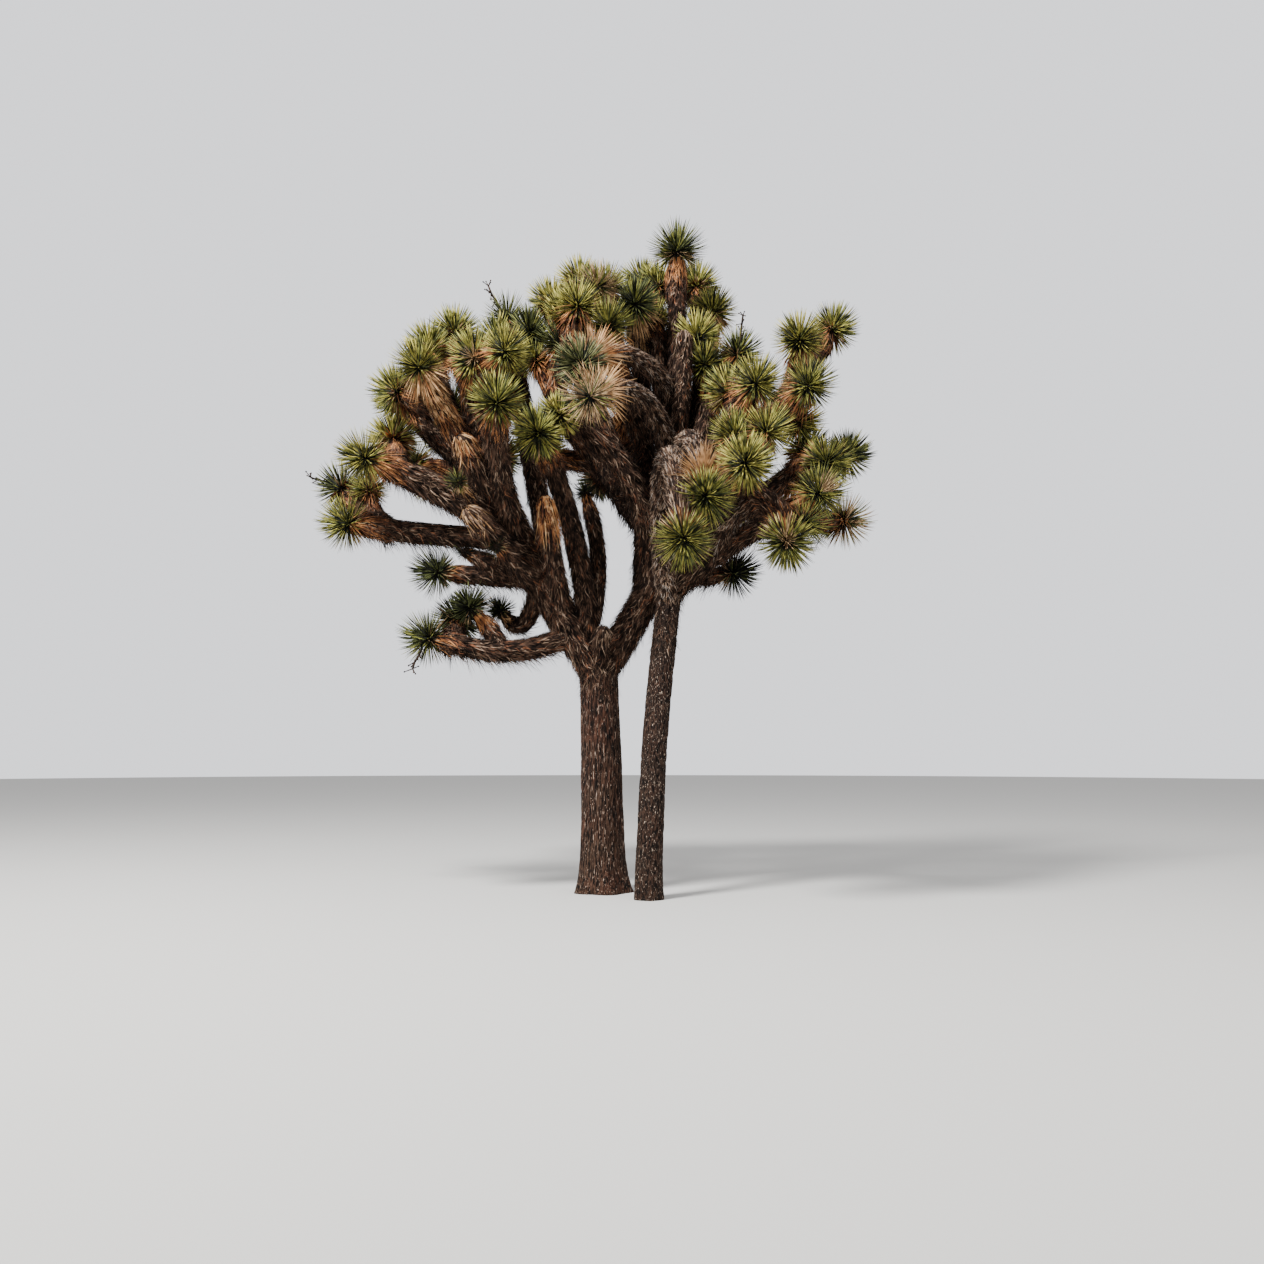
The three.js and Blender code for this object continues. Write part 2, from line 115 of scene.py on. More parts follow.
BOUGHS = [
    ("left_bough", "trunk", 1, (-0.79, -0.15, 3.57), (-0.27, 0, 0), (0.205, 0.19)),
    ("centre_bough", "trunk", 1, (0.52, 0.05, 3.26), (0.21, 0, -0.08), (0.195, 0.172)),
    ("left_arm", "left_bough", 1, (-2.07, -0.6, 4.38), (0, 0, -0.06), (0.175, 0.15)),
    ("left_riser", "left_bough", 1, (-1.39, -0.35, 5.14), (-0.07, 0, 0), (0.18, 0.14)),
    ("low_arm", "left_bough", 0.33, (-1.55, -0.4, 2.61), (0, 0, -0.25), (0.13, 0.112)),
    ("inner_riser", "left_bough", 0.12, (-0.55, -0.45, 4.54), (0.2, 0, 0), (0.13, 0.112)),
    ("dead_stub_inner", "left_bough", 0.42, (-0.58, -0.7, 4.03), (-0.04, -0.1, 0), (0.11, 0.1)),
    ("dead_stub_low", "left_bough", 0.95, (-1.34, -0.75, 3.92), (0, -0.04, -0.06), (0.135, 0.105)),
    ("dead_stub_left", "left_riser", 0.3, (-1.38, -1.15, 4.57), (0, -0.06, -0.06), (0.13, 0.11)),
    ("dead_stub_fork", "trunk", 0.97, (0, -0.35, 2.74), (0, 0, 0.04), (0.09, 0.08)),
    ("centre_riser", "centre_bough", 1, (-0.24, -0.4, 4.99), (0.03, 0, 0.26), (0.148, 0.125)),
    ("tall_stem", "centre_bough", 1, (0.82, 0.3, 6.61), (-0.06, 0.04, 0), (0.14, 0.108)),
    ("rear_riser", "centre_bough", 0.85, (0.43, 0.8, 5.83), (0.06, 0.16, 0), (0.138, 0.115)),
    ("grey_stub", "tall_stem", 0.5, (0.89, -0.1, 6.02), (0.06, -0.06, 0), (0.105, 0.092)),
    ("right_bough", "second_stem", 1, (1.8, -0.6, 3.89), (0, -0.06, -0.1), (0.13, 0.12)),
    ("right_riser", "second_stem", 1, (1.18, 0.2, 5.47), (0.08, 0, -0.06), (0.132, 0.126)),
    ("right_arch", "right_bough", 0.5, (1.58, -0.95, 4.03), (-0.06, -0.04, 0.14), (0.105, 0.1)),
    ("right_arm", "right_riser", 0.28, (2.11, 0.2, 4.59), (0, 0, -0.06), (0.115, 0.095)),
    ("far_right_limb", "right_riser", 0.6, (2.11, 0.25, 5.56), (0, 0, -0.09), (0.12, 0.105)),
    ("front_hook", "second_stem", 0.98, (0.67, -0.85, 4.36), (-0.06, 0.1, 0.06), (0.13, 0.16)),
    ("back_left", "left_bough", 0.6, (-1.5, 1.05, 4.7), (0, 0.2, -0.2), (0.15, 0.12)),
    ("back_middle", "rear_riser", 0.35, (0, 1.35, 4.9), (0, 0.12, -0.12), (0.15, 0.12)),
    ("back_right", "right_riser", 0.12, (1.5, 1.2, 4.45), (0, 0.16, -0.14), (0.15, 0.12)),
]
print("trunks and boughs:", len(TRUNKS) + len(BOUGHS))

# %% [markdown]
# ## The rule that grows the limbs
# A limb's middle line is a quadratic Bezier curve. One that leaves its parent's end sets off the same
# way. Whole arrays of points are worked out at once, because the thatch needs tens of thousands.

# %% Small sums on vectors
def vector(values):
    return np.array(values, dtype=float)


def unit(vectors):
    return vectors / np.linalg.norm(vectors, axis=-1, keepdims=True)


def turned(point, start, end):
    """The point after the shortest turn that takes direction start to direction end."""
    axis = np.cross(start, end)
    cosine = start @ end
    return point * cosine + np.cross(axis, point) + axis * (axis @ point) / (1 + cosine)


UP = vector((0, 0, 1))
CURVE_STEPS = 200
STATIONS = np.linspace(0, 1, 41)
print("stations along a limb:", len(STATIONS))

# %% A limb and the points on its skin
class Limb:
    """A limb with a round section: its middle line, its radius along it and axes across it."""

    def __init__(self, name, foot, middle, tip, radius=None):
        self.name = name
        self.foot, self.middle, self.tip = vector(foot), vector(middle), vector(tip)
        steps = self.line(np.linspace(0, 1, CURVE_STEPS + 1))
        self.length = float(np.linalg.norm(np.diff(steps, axis=0), axis=1).sum())
        self.radius = radius
        self.axes = self.make_axes()

    def line(self, share):
        share = np.asarray(share, dtype=float)[..., None]
        rest = 1 - share
        return rest**2 * self.foot + 2 * rest * share * self.middle + share**2 * self.tip

    def heading(self, share):
        share = np.asarray(share, dtype=float)[..., None]
        return unit((1 - share) * (self.middle - self.foot) + share * (self.tip - self.middle))

    def make_axes(self):
        """Axes across the limb at even steps, carried along it without a twist."""
        heading = self.heading(0.0)
        across = turned(vector((1, 0, 0)), UP, heading)
        rows = []
        for share in STATIONS:
            following = self.heading(share)
            across = unit(turned(across, heading, following))
            heading = following
            rows.append(np.concatenate([across, np.cross(heading, across)]))
        return np.array(rows)

    def across(self, share):
        columns = np.stack([np.interp(share, STATIONS, axis) for axis in self.axes.T], axis=-1)
        return unit(columns[..., :3]), unit(columns[..., 3:])

    def outward(self, share, angle):
        """The way straight out of the limb, at an angle round it."""
        first, second = self.across(share)
        return first * np.cos(angle)[..., None] + second * np.sin(angle)[..., None]

    def skin(self, share, angle, height):
        """Points at height times the radius. Past its ends the limb runs straight on, and rounds off."""
        inside = np.clip(share, 0, 1)
        beyond = (share - inside) * self.length
        radius = self.radius(inside, angle) * height
        dome = np.clip(beyond / radius, 0, 1)
        radius = radius * np.sqrt(1 - dome**2)
        middle = self.line(inside) + self.heading(inside) * beyond[..., None]
        return middle + self.outward(inside, angle) * radius[..., None]


print("a limb can place any point of its skin")

# %% Growing the trunks and boughs
def tapering(ends, flare=0.0, turn=0.0, length=1.0):
    """The radius of a trunk or bough: an even taper, and the root flare at a trunk's foot."""

    def radius(share, angle):
        lobe = 1 + FLARE_LOBE * np.cos(FLARE_LOBES * angle + math.radians(turn))
        swell = flare * np.exp(-share * length / FLARE_HEIGHT) * lobe
        return ends[0] + (ends[1] - ends[0]) * share + swell

    return radius


def middle_from(parent, at, tip, bow):
    """Where a limb's curve starts on its parent, and its middle point."""
    foot = parent.line(at)
    middle = (foot + tip) / 2
    if at == 1:
        onward = foot + parent.heading(1.0) * np.linalg.norm(tip - foot) * ONWARD_REACH
        middle = middle * (1 - ONWARD_PULL) + onward * ONWARD_PULL
    return foot, middle + bow


limbs = {}
for name, foot, middle, tip, ends, flare, turn in TRUNKS:
    limbs[name] = Limb(name, foot, middle, tip)
    limbs[name].radius = tapering(ends, flare, turn, limbs[name].length)
for name, on, at, tip, bow, ends in BOUGHS:
    foot, middle = middle_from(limbs[on], at, tip, bow)
    limbs[name] = Limb(name, foot, middle, tip, tapering(ends))
bough_names = [row[0] for row in BOUGHS]
print("trunks and boughs grown:", len(limbs))

# %% How an arm grows
arms = []


def coated(length, slim):
    """An arm is slim under its ball of leaves and widens to its coat of dead leaves."""

    def radius(share, angle):
        widening = np.minimum(1, (1 - share) * length / NECK_LENGTH)
        return (NECK + (COAT - NECK) * widening) * slim + 0 * angle

    return radius


def grow_arm(name, foot, middle, tip, reach, slim):
    arm = Limb(name, foot, middle, tip)
    arm.radius = coated(arm.length, slim)
    arm.size = reach
    arm.reach = LEAF_REACH * reach
    arm.heart = HEART * reach
    arms.append(arm)
    return arm


def side_heading(heading, fan, roll):
    """The way a side arm leaves: off the stem's heading by fan, on the side that roll says."""
    fan, roll = math.radians(fan), math.radians(roll)
    outward = turned(vector((math.cos(roll), math.sin(roll), 0)), UP, heading)
    return heading * math.cos(fan) + outward * math.sin(fan)


print("an arm is", 2 * NECK, "m wide at its neck and", 2 * COAT, "m in its coat")

# %% [markdown]
# A mass of foliage is a stem with an arm or two beside it, and each ends in a ball of leaves. A side arm
# is the degrees that it leans off the stem, the degrees round the stem where it leaves, and its length.
# Small and thin masses have a reach or a slim under 1. The top and the high hook are slimmer than their
# solids, by as much as their thatch stands out.

# %% The masses of foliage
RING_COUNT = 6
RING_FAN = 62
RING_LENGTH = 0.72
mass_nodes = []


def mass(name, on, at, tip, *sides, bow=(0, 0, 0), reach=1, slim=1):
    """Grows a stem on a limb, and its side arms."""
    stem = grow_arm(name, *middle_from(limbs[on], at, tip, bow), tip, reach, slim)
    mass_nodes.append("foliage_" + name)
    for i, (fan, roll, length) in enumerate(sides):
        share = max(LOWEST_FORK, 1 - (FORK_DROP + FORK_SPACING * i) / stem.length)
        start = stem.line(share)
        way = side_heading(stem.heading(share), fan, roll)
        end = start + way * length + UP * length * ARM_LIFT
        grow_arm(f"{name}_{i + 1}", start, start + way * length / 2, end, reach, slim)


def ring(roll):
    """Side arms that fan out evenly all round."""
    return [(RING_FAN, roll + i * GOLDEN_ANGLE, RING_LENGTH) for i in range(RING_COUNT)]


mass("far_left", "left_arm", 1, (-2.44, -0.8, 4.5), (85, 80, 0.7))
mass("left_low", "left_arm", 0.2, (-2.71, -0.35, 3.9), (45, 60, 0.93), bow=(0, 0, -0.06))
mass("left_shoulder", "left_riser", 0.35, (-1.87, -1, 5.4),
     (65, 135, 0.63), (55, 85, 0.95), bow=(0, 0, -0.12))
mass("left_top", "left_riser", 1, (-1.32, -0.85, 5.55), (75, 110, 0.85), (50, 60, 0.68))
mass("left_inner", "left_riser", 0.12, (-1.02, -1.4, 4.91), bow=(-0.17, -0.16, 0))
mass("young_shoot", "left_riser", 0.1, (-1.48, -0.8, 4.25), bow=(0, 0, -0.04), reach=0.5, slim=0.6)
mass("level_arm", "left_bough", 0.8, (-1.75, -0.3, 3.39), bow=(0, 0, -0.02), slim=0.85)
mass("low_upturned", "low_arm", 0.62, (-1.42, -0.2, 3.02), bow=(0.13, 0.06, -0.06), slim=0.85)
mass("low_left", "low_arm", 1, (-1.82, -0.4, 2.67), (90, 70, 0.51))
mass("curled", "left_bough", 0.85, (-1.13, 0.15, 3.02), bow=(0.1, 0.16, -0.64), reach=0.65, slim=0.8)
mass("inner_front", "inner_riser", 1, (-0.64, -1, 4.72))
mass("thin_arm", "inner_riser", 0.12, (-0.21, 0.2, 4.34), bow=(0.25, 0.06, 0), reach=0.55, slim=0.75)
mass("upper_left", "left_bough", 0.5, (-1.1, 0.3, 6.37), (90, 290, 0.69), bow=(-0.06, 0.42, 0))
mass("mid_left", "centre_riser", 1, (-0.43, -0.9, 4.93), (60, 90, 0.42), reach=0.8)
mass("crown_left", "centre_riser", 0.75, (-0.4, -0.35, 6.15),
     (40, 100, 0.92), (40, 70, 1.25), bow=(-0.06, 0, 0))
mass("crown_middle", "rear_riser", 0.7, (0.05, -0.2, 6.12), (55, 85, 0.91), bow=(-0.06, 0.06, 0))
mass("crown_rear", "rear_riser", 1, (0.35, 0.1, 6.49), (85, 85, 0.96), (60, 65, 0.77))
mass("top_hook", "tall_stem", 0.66, (-0.19, -1.2, 5.37), bow=(0.06, 0.08, 0.62), slim=0.8)
mass("high_hook", "tall_stem", 0.46, (-0.09, -1.75, 4.87), bow=(0.16, -0.2, 0.65), slim=0.8)
mass("leader", "tall_stem", 1, (0.83, 0.3, 7.18))
mass("behind_leader", "right_riser", 0.6, (1.26, 0.8, 6.65),
     (25, 120, 0.99), (110, 255, 0.45), bow=(-0.06, 0.16, 0))
mass("right_top", "right_riser", 1, (1.12, 0.1, 5.79), (50, 35, 0.56))
mass("right_front", "right_riser", 0.6, (1.59, -0.9, 5.26), (80, 115, 0.31), bow=(0, 0, -0.06))
mass("far_right_top", "far_right_limb", 1, (2.16, -0.1, 6), (50, 60, 0.79))
mass("far_right_side", "far_right_limb", 0.65, (2.2, -0.4, 5.39), (100, 20, 0.33), bow=(0, 0, -0.06))
mass("right_middle", "right_riser", 0.4, (1.42, -1.45, 4.29),
     (70, 65, 0.58), (80, 90, 0.46), bow=(0, 0, 0.06))
mass("right_arm_end", "right_arm", 1, (2.43, -0.15, 4.61), (70, 105, 0.31), (55, 65, 0.7))
mass("right_low", "right_bough", 1, (2.22, -0.9, 4.11), (60, 35, 0.74))
mass("right_arch_end", "right_arch", 1, (1.82, -1.4, 3.53), (50, 15, 0.39))
mass("small_hook", "tall_stem", 0.15, (1.02, -1.6, 3.94), bow=(0.06, 0.12, 1.75), slim=0.8)
mass("front_hook_end", "front_hook", 1, (0.8, -1.75, 3.5), bow=(0, 0, 0.26))
mass("under_right", "right_bough", 0.25, (1.4, -0.1, 3.41), bow=(0, 0.06, 0), slim=0.8)
mass("back_left_end", "back_left", 1, (-1.95, 1.45, 5.3), *ring(0))
mass("back_middle_end", "back_middle", 1, (-0.15, 1.75, 5.4), *ring(40))
mass("back_right_end", "back_right", 1, (1.75, 1.7, 5.05), *ring(80))
print("masses of foliage:", len(mass_nodes), "with balls of leaves:", len(arms))

# %% [markdown]
# The solids leave out the youngest arms, which only fill the crown between the others. Each grows from
# the side of an older limb: the limb, the share of its length, the tip, and the reach of its leaves.

# %% The young arms
YOUNG_ARMS = [
    ("young_shoulder", "left_riser", 0.45, (-2.28, 0.2, 5.35), 1.0),
    ("young_low", "left_low_1", 0.3, (-2.55, -0.1, 4.32), 0.8),
    ("young_left_top", "left_top", 0.8, (-0.99, -1.0, 5.57), 0.9),
    ("young_left_rear", "left_top_1", 0.7, (-1.77, 0.4, 6.06), 1.0),
    ("young_upper", "upper_left", 0.7, (-1.17, 0.1, 5.7), 0.9),
    ("young_inner", "mid_left_1", 0.7, (-0.72, -0.4, 5.67), 0.85),
    ("young_middle", "mid_left_1", 0.8, (-0.45, -0.6, 5.77), 0.9),
    ("young_crown", "mid_left_1", 0.8, (-0.26, -0.7, 6.16), 0.95),
    ("young_top", "crown_middle_1", 0.5, (-0.07, -0.1, 6.6), 0.9),
    ("young_stem", "tall_stem", 0.3, (0.6, 0.5, 6.45), 0.8),
    ("young_stem_rear", "tall_stem", 0.35, (0.76, 0.7, 6.3), 0.7),
    ("young_side", "left_bough", 0.8, (-1.47, -0.3, 3.6), 0.5),
    ("young_bud", "left_bough", 0.75, (-1.1, -0.6, 3.62), 0.5),
]
by_name = {arm.name: arm for arm in arms}
for name, on, at, tip, reach in YOUNG_ARMS:
    older = limbs[on] if on in limbs else by_name[on]
    foot, middle = middle_from(older, at, tip, (0, 0, -YOUNG_SAG))
    grow_arm(name, foot, middle, tip, reach, YOUNG_SLIM)
print("balls of leaves with the young arms:", len(arms))

# %% [markdown]
# ## Keeping leaves out of each other's way
# As in the solids, a leaf is shortened where it would cross into the next ball, and left off where a
# limb would leave it less than half its length. Points every 6 cm mark all the limbs.

# %% Room for a leaf
SHORTEST_LEAF = 0.5
MARK_SPACING = 0.06
LEAF_STEP = 0.02
ball_centres = np.array([arm.tip for arm in arms])
ball_reaches = np.array([arm.reach for arm in arms])
marks = []
for owner, limb in [(-1, limb) for limb in limbs.values()] + list(enumerate(arms)):
    share = np.linspace(0, 1, math.ceil(limb.length / MARK_SPACING) + 1)
    marks.append((limb.line(share), limb.radius(share, 0 * share), np.full(len(share), owner)))
mark_points, mark_radii, mark_owners = (np.concatenate(part) for part in zip(*marks))


def room_for(index, directions, wanted):
    """How long each leaf of a ball may be. Zero where it is left off."""
    arm = arms[index]
    apart = np.delete(ball_centres, index, axis=0) - arm.tip
    others = np.delete(ball_reaches, index)
    distance = np.linalg.norm(apart, axis=1)
    towards = directions @ (apart / distance[:, None]).T
    border = distance * arm.reach / (arm.reach + others) - LEAF_GAP
    limit = np.where(towards > 0, border / np.maximum(towards, 1e-6), np.inf).min(axis=1)
    room = np.minimum(wanted, limit)
    reach = arm.reach + mark_radii + LEAF_ROOT_GAP
    near = (mark_owners != index) & (np.linalg.norm(mark_points - arm.tip, axis=1) < reach)
    if near.any():
        steps = np.arange(arm.heart, arm.reach, LEAF_STEP)
        path = arm.tip + directions[:, None] * steps[:, None]
        gap = LEAF_ROOT_GAP + (LIMB_GAP - LEAF_ROOT_GAP) * steps / arm.reach
        away = np.linalg.norm(path[:, :, None] - mark_points[near], axis=3) - mark_radii[near]
        struck = (away < gap[:, None]).any(axis=2)
        first = np.where(struck.any(axis=1), steps[struck.argmax(axis=1)] - LEAF_STEP, np.inf)
        room = np.minimum(room, first)
    return np.where(room < SHORTEST_LEAF * arm.reach, 0, room)


print("points that mark the limbs:", len(mark_points))

# %% [markdown]
# ## Colours and materials
# Every finish here is plant matter: bark, dry leaves, and live leaves with a dull waxy skin. None of it
# is metal, and its IOR is about 1.45. One function turns sRGB hex values to linear light.

# %% Helpers for colours and nodes
PLANT_IOR = 1.45
PLANT_GLOSS = 0.2


def colour(code):
    """An sRGB hex value as linear light, with alpha."""
    parts = [int(code[i : i + 2], 16) / 255 for i in (1, 3, 5)]
    linear = [part / 12.92 if part <= 0.04045 else ((part + 0.055) / 1.055) ** 2.4 for part in parts]
    return (*linear, 1.0)


def add_node(tree, kind, inputs=None, **settings):
    """Adds a node. An input is a plain value, or the output of another node."""
    node = tree.nodes.new(kind)
    for name, value in settings.items():
        setattr(node, name, value)
    for name, value in (inputs or {}).items():
        if isinstance(value, bpy.types.NodeSocket):
            tree.links.new(value, node.inputs[name])
        else:
            node.inputs[name].default_value = value
    return node


def add_noise(tree, place, grain, detail, roughness=0.5):
    """Noise with its grain in metres."""
    inputs = {"Vector": place, "Scale": 1 / grain, "Detail": detail, "Roughness": roughness}
    return add_node(tree, "ShaderNodeTexNoise", inputs).outputs["Fac"]


def add_ramp(tree, value, *stops):
    """Turns a value into a colour. A stop is a place from 0 to 1 and a hex value."""
    node = add_node(tree, "ShaderNodeValToRGB", {"Fac": value})
    elements = node.color_ramp.elements
    elements.remove(elements[-1])
    elements[0].position = stops[0][0]
    elements[0].color = colour(stops[0][1])
    for place, code in stops[1:]:
        elements.new(place).color = colour(code)
    return node.outputs["Color"]


def add_mix(tree, share, first, second):
    inputs = {"Factor": share, "A": first, "B": second}
    return add_node(tree, "ShaderNodeMix", inputs, data_type="RGBA").outputs["Result"]


def new_material(name):
    material = bpy.data.materials.new(name)
    material.use_nodes = True
    material.node_tree.nodes.clear()
    return material, material.node_tree


def add_shader(tree, tint, roughness, gloss=PLANT_GLOSS, **more):
    """One shader that is not metal. Its inputs are values or outputs of nodes."""
    finish = {"IOR": PLANT_IOR, "Roughness": roughness, "Specular IOR Level": gloss, **more}
    shader = add_node(tree, "ShaderNodeBsdfPrincipled", {"Base Color": tint, **finish})
    add_node(tree, "ShaderNodeOutputMaterial", {"Surface": shader.outputs["BSDF"]})


print("mid grey in linear light:", round(colour("#808080")[0], 3))

# %% [markdown]
# ### Corky bark
# Old trunks lose their dead leaves and grow a hard bark of upright plates, 14 mm wide, with nearly black
# cracks: their own dark, deepened by painted shade. The plates are some 190 mm tall on the trunk and 65 mm
# on the second stem. Other noises make the pale flecks of their edges, 7.5 mm wide, and broad reddish
# patches.

# %% The bark material
PLATE_WIDTH = 0.014
FLECK_WIDTH = 0.0075
PATCH_WIDTH = 0.35
# The cracks' own dark, deepened to near black by painted shade.
CRACK_AND_SHADE = "#040201"
BARK_ROUGHNESS = 0.92
BUMP_STRENGTH = 0.7
BUMP_DEPTH = 0.008


def corky_bark(name, upright_scale, plate, patch, fleck):
    """Bark of two colours with cracks and flecks. A smaller upright scale gives taller plates."""
    material, tree = new_material(name)
    place = add_node(tree, "ShaderNodeTexCoord").outputs["Object"]
    stretch = {"Vector": place, "Scale": (1, 1, upright_scale)}
    upright = add_node(tree, "ShaderNodeMapping", stretch).outputs["Vector"]
    plates = add_noise(tree, upright, PLATE_WIDTH, 5.0, 0.7)
    flecks = add_noise(tree, upright, FLECK_WIDTH, 2.0)
    patches = add_noise(tree, place, PATCH_WIDTH, 2.0)
    broad = add_ramp(tree, patches, (0.4, plate), (0.62, patch))
    depth = add_ramp(tree, plates, (0.44, "#000000"), (0.6, "#ffffff"))
    # Painted shade: the cracks are mixed in near black.
    shade = add_mix(tree, depth, colour(CRACK_AND_SHADE), broad)
    lit = add_ramp(tree, flecks, (0.64, "#000000"), (0.7, "#ffffff"))
    tint = add_mix(tree, lit, shade, colour(fleck))
    relief = {"Height": plates, "Strength": BUMP_STRENGTH, "Distance": BUMP_DEPTH}
    bump = add_node(tree, "ShaderNodeBump", relief).outputs["Normal"]
    add_shader(tree, tint, BARK_ROUGHNESS, Normal=bump)
    return material


trunk_bark = corky_bark("corky bark of the trunk", 0.075, "#4c382c", "#4d3226", "#b39a88")
stem_bark = corky_bark("corky bark of the second stem", 0.22, "#3a2b22", "#402d23", "#b29e8c")
print("bark materials:", trunk_bark.name, "and", stem_bark.name)

# %% [markdown]
# ### Dry and live leaves
# Leaves are dealt out into a few plain tints. Within a tint, a noise with a grain of 80 mm shifts one
# leaf against the next. Live leaves have a thin wax, so they are a little glossy. Dead leaves are matt.

# %% The leaf materials
TINT_GRAIN = 0.08


def leaf_skin(name, dark, light, roughness):
    material, tree = new_material(name)
    place = add_node(tree, "ShaderNodeTexCoord").outputs["Object"]
    grain = add_noise(tree, place, TINT_GRAIN, 1.0)
    add_shader(tree, add_ramp(tree, grain, (0.35, dark), (0.65, light)), roughness)
    return material


# The sunlit tint is the leaves' own yellow green together with painted light. The shade tint, near black,
# is painted shade.
LEAF_TINTS = {
    "sunlit": leaf_skin("waxy leaf, yellow green and painted light", "#403c0d", "#c9be62", 0.6),
    "green": leaf_skin("waxy leaf, green", "#2b2f0c", "#9a994b", 0.6),
    "olive": leaf_skin("waxy leaf, dark olive", "#1d240e", "#686d40", 0.6),
    "blue": leaf_skin("waxy leaf, blue green", "#2d3019", "#89895c", 0.6),
    "shade": leaf_skin("waxy leaf, deep shade", "#050602", "#161a0a", 0.6),
    "straw": leaf_skin("dying leaf, straw", "#59412a", "#c0a27a", 0.75),
}
DEAD_TINTS = {
    "orange": leaf_skin("dead leaf, orange", "#744628", "#c98a56", 0.8),
    "rust": leaf_skin("dead leaf, rust", "#42241a", "#87563a", 0.85),
    "tan": leaf_skin("dead leaf, tan", "#85603f", "#ddb180", 0.85),
    "brown": leaf_skin("dead leaf, brown", "#24170f", "#5a4335", 0.9),
    "umber": leaf_skin("dead leaf, umber", "#0b0604", "#261a14", 0.95),
    "fawn": leaf_skin("dead leaf, fawn", "#5a4636", "#9c8470", 0.9),
    "grey": leaf_skin("dead leaf, weathered grey", "#574b41", "#988b80", 0.9),
}
# The mat is nearly black: the leaf bases' own dark brown with painted shade deep in the thatch.
thatch_mat_and_shade = leaf_skin("matted leaf bases, with painted shade under the thatch", "#120b08", "#33241c", 0.97)
print("tints of live and dead leaves:", len(LEAF_TINTS), "and", len(DEAD_TINTS))

# %% [markdown]
# ## Bark with its relief
# A flat grid is rolled round the limb like a sheet of bark: its X runs round the limb and its Y along it.
# Each point is set in or out by noise, the seam is welded, and the foot is closed. So the bark follows
# the lean and the flare of the trunk by itself.

# %% Rolling a sheet of bark round a limb
PLATE_GRAIN = 0.036
PLATE_EDGE = 0.22
PLATE_MIDDLE = 0.8
PLATE_DEPTH = 0.01
LUMP_GRAIN = 0.3
LUMP_DEPTH = 0.007
CHIP_GRAIN = 0.016
CHIP_DEPTH = 0.004
MAT_RELIEF = {0.05: 0.012, 0.02: 0.006}
FOOT_SNAP = 0.004
WELD_DISTANCE = 1e-4


def rough(point, grain, upright=1.0):
    """Noise between about -1 and 1, with its grain in metres, drawn out along Z."""
    return noise.noise(Vector((point[0] / grain, point[1] / grain, point[2] / (grain * upright))))


def trunk_relief(point):
    """How far the bark stands in or out, as plates with cracks between them."""
    plate = min(1.0, abs(rough(point, PLATE_GRAIN, 5.0)) / PLATE_EDGE)
    lump = LUMP_DEPTH * rough(point, LUMP_GRAIN, 1.6)
    return PLATE_DEPTH * (plate - PLATE_MIDDLE) + lump + CHIP_DEPTH * rough(point, CHIP_GRAIN, 4.0)


def matted_relief(point):
    return sum(depth * rough(point, grain) for grain, depth in MAT_RELIEF.items())


def roll_bark(limb, around, along, height, relief, flat_foot):
    """A closed bmesh round one limb. Its end is a dome, and its foot a flat cut."""
    bm = bmesh.new()
    bmesh.ops.create_grid(bm, x_segments=around, y_segments=along, size=1.0)
    sheet = np.array([vert.co[:2] for vert in bm.verts])
    low, high = sheet.min(axis=0), sheet.max(axis=0)
    across, up = ((sheet - low) / (high - low)).T
    # Past the end of the limb the sheet runs on over the dome, which is a quarter circle.
    end_radius = float(limb.radius(1.0, 0.0)) * height
    straight = limb.length / (limb.length + end_radius * TURN / 4)
    bend = np.clip((up - straight) / (1 - straight), 0, 1) * TURN / 4
    share = np.minimum(up / straight, 1) + end_radius * np.sin(bend) / limb.length
    tops = np.isclose(up, 1)
    share[tops] = 1 + end_radius / limb.length
    angle = across * TURN
    places = limb.skin(share, angle, height)
    outward = limb.outward(np.clip(share, 0, 1), angle)
    for vert, place, away, top in zip(bm.verts, places, outward, tops):
        vert.co = place if top else place + away * relief(place)
        if flat_foot and vert.co.z < FOOT_SNAP:
            vert.co.z = 0.0
    bmesh.ops.remove_doubles(bm, verts=bm.verts, dist=WELD_DISTANCE)
    bmesh.ops.holes_fill(bm, edges=[edge for edge in bm.edges if edge.is_boundary], sides=0)
    bmesh.ops.recalc_face_normals(bm, faces=bm.faces)
    return bm


def finished(name, bm, material, smooth=True):
    """Turns a bmesh into an object at the origin with one material."""
    mesh = bpy.data.meshes.new(name)
    bm.to_mesh(mesh)
    bm.free()
    mesh.materials.append(material)
    mesh.polygons.foreach_set("use_smooth", [smooth] * len(mesh.polygons))
    return add_object(name, mesh)


def dress(piece, nodes):
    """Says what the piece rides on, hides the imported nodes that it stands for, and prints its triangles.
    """
    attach(piece, "root")
    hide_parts(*nodes)
    piece.data.calc_loop_triangles()
    print(piece.name, "triangles:", len(piece.data.loop_triangles))


print("depth of the bark's plates in metres:", PLATE_DEPTH)

# %% The two trunks
for name, material, around, along in (
    ("trunk", trunk_bark, 170, 300),
    ("second_stem", stem_bark, 120, 370),
):
    bark = roll_bark(limbs[name], around, along, 1.0, trunk_relief, True)
    dress(finished(f"{name}_bark", bark, material), [name])

# %% [markdown]
# The boughs and arms have no bark to show: under their thatch lies a mat of old leaf bases. Its near-black
# colour is their own dark brown with painted shade deep in the thatch. The mat is rolled the same way, 12%
# thinner than the limb, and joined into one mesh for the boughs and one for the arms.

# %% The matted cores of the boughs and arms
CORE_HEIGHT = 0.88


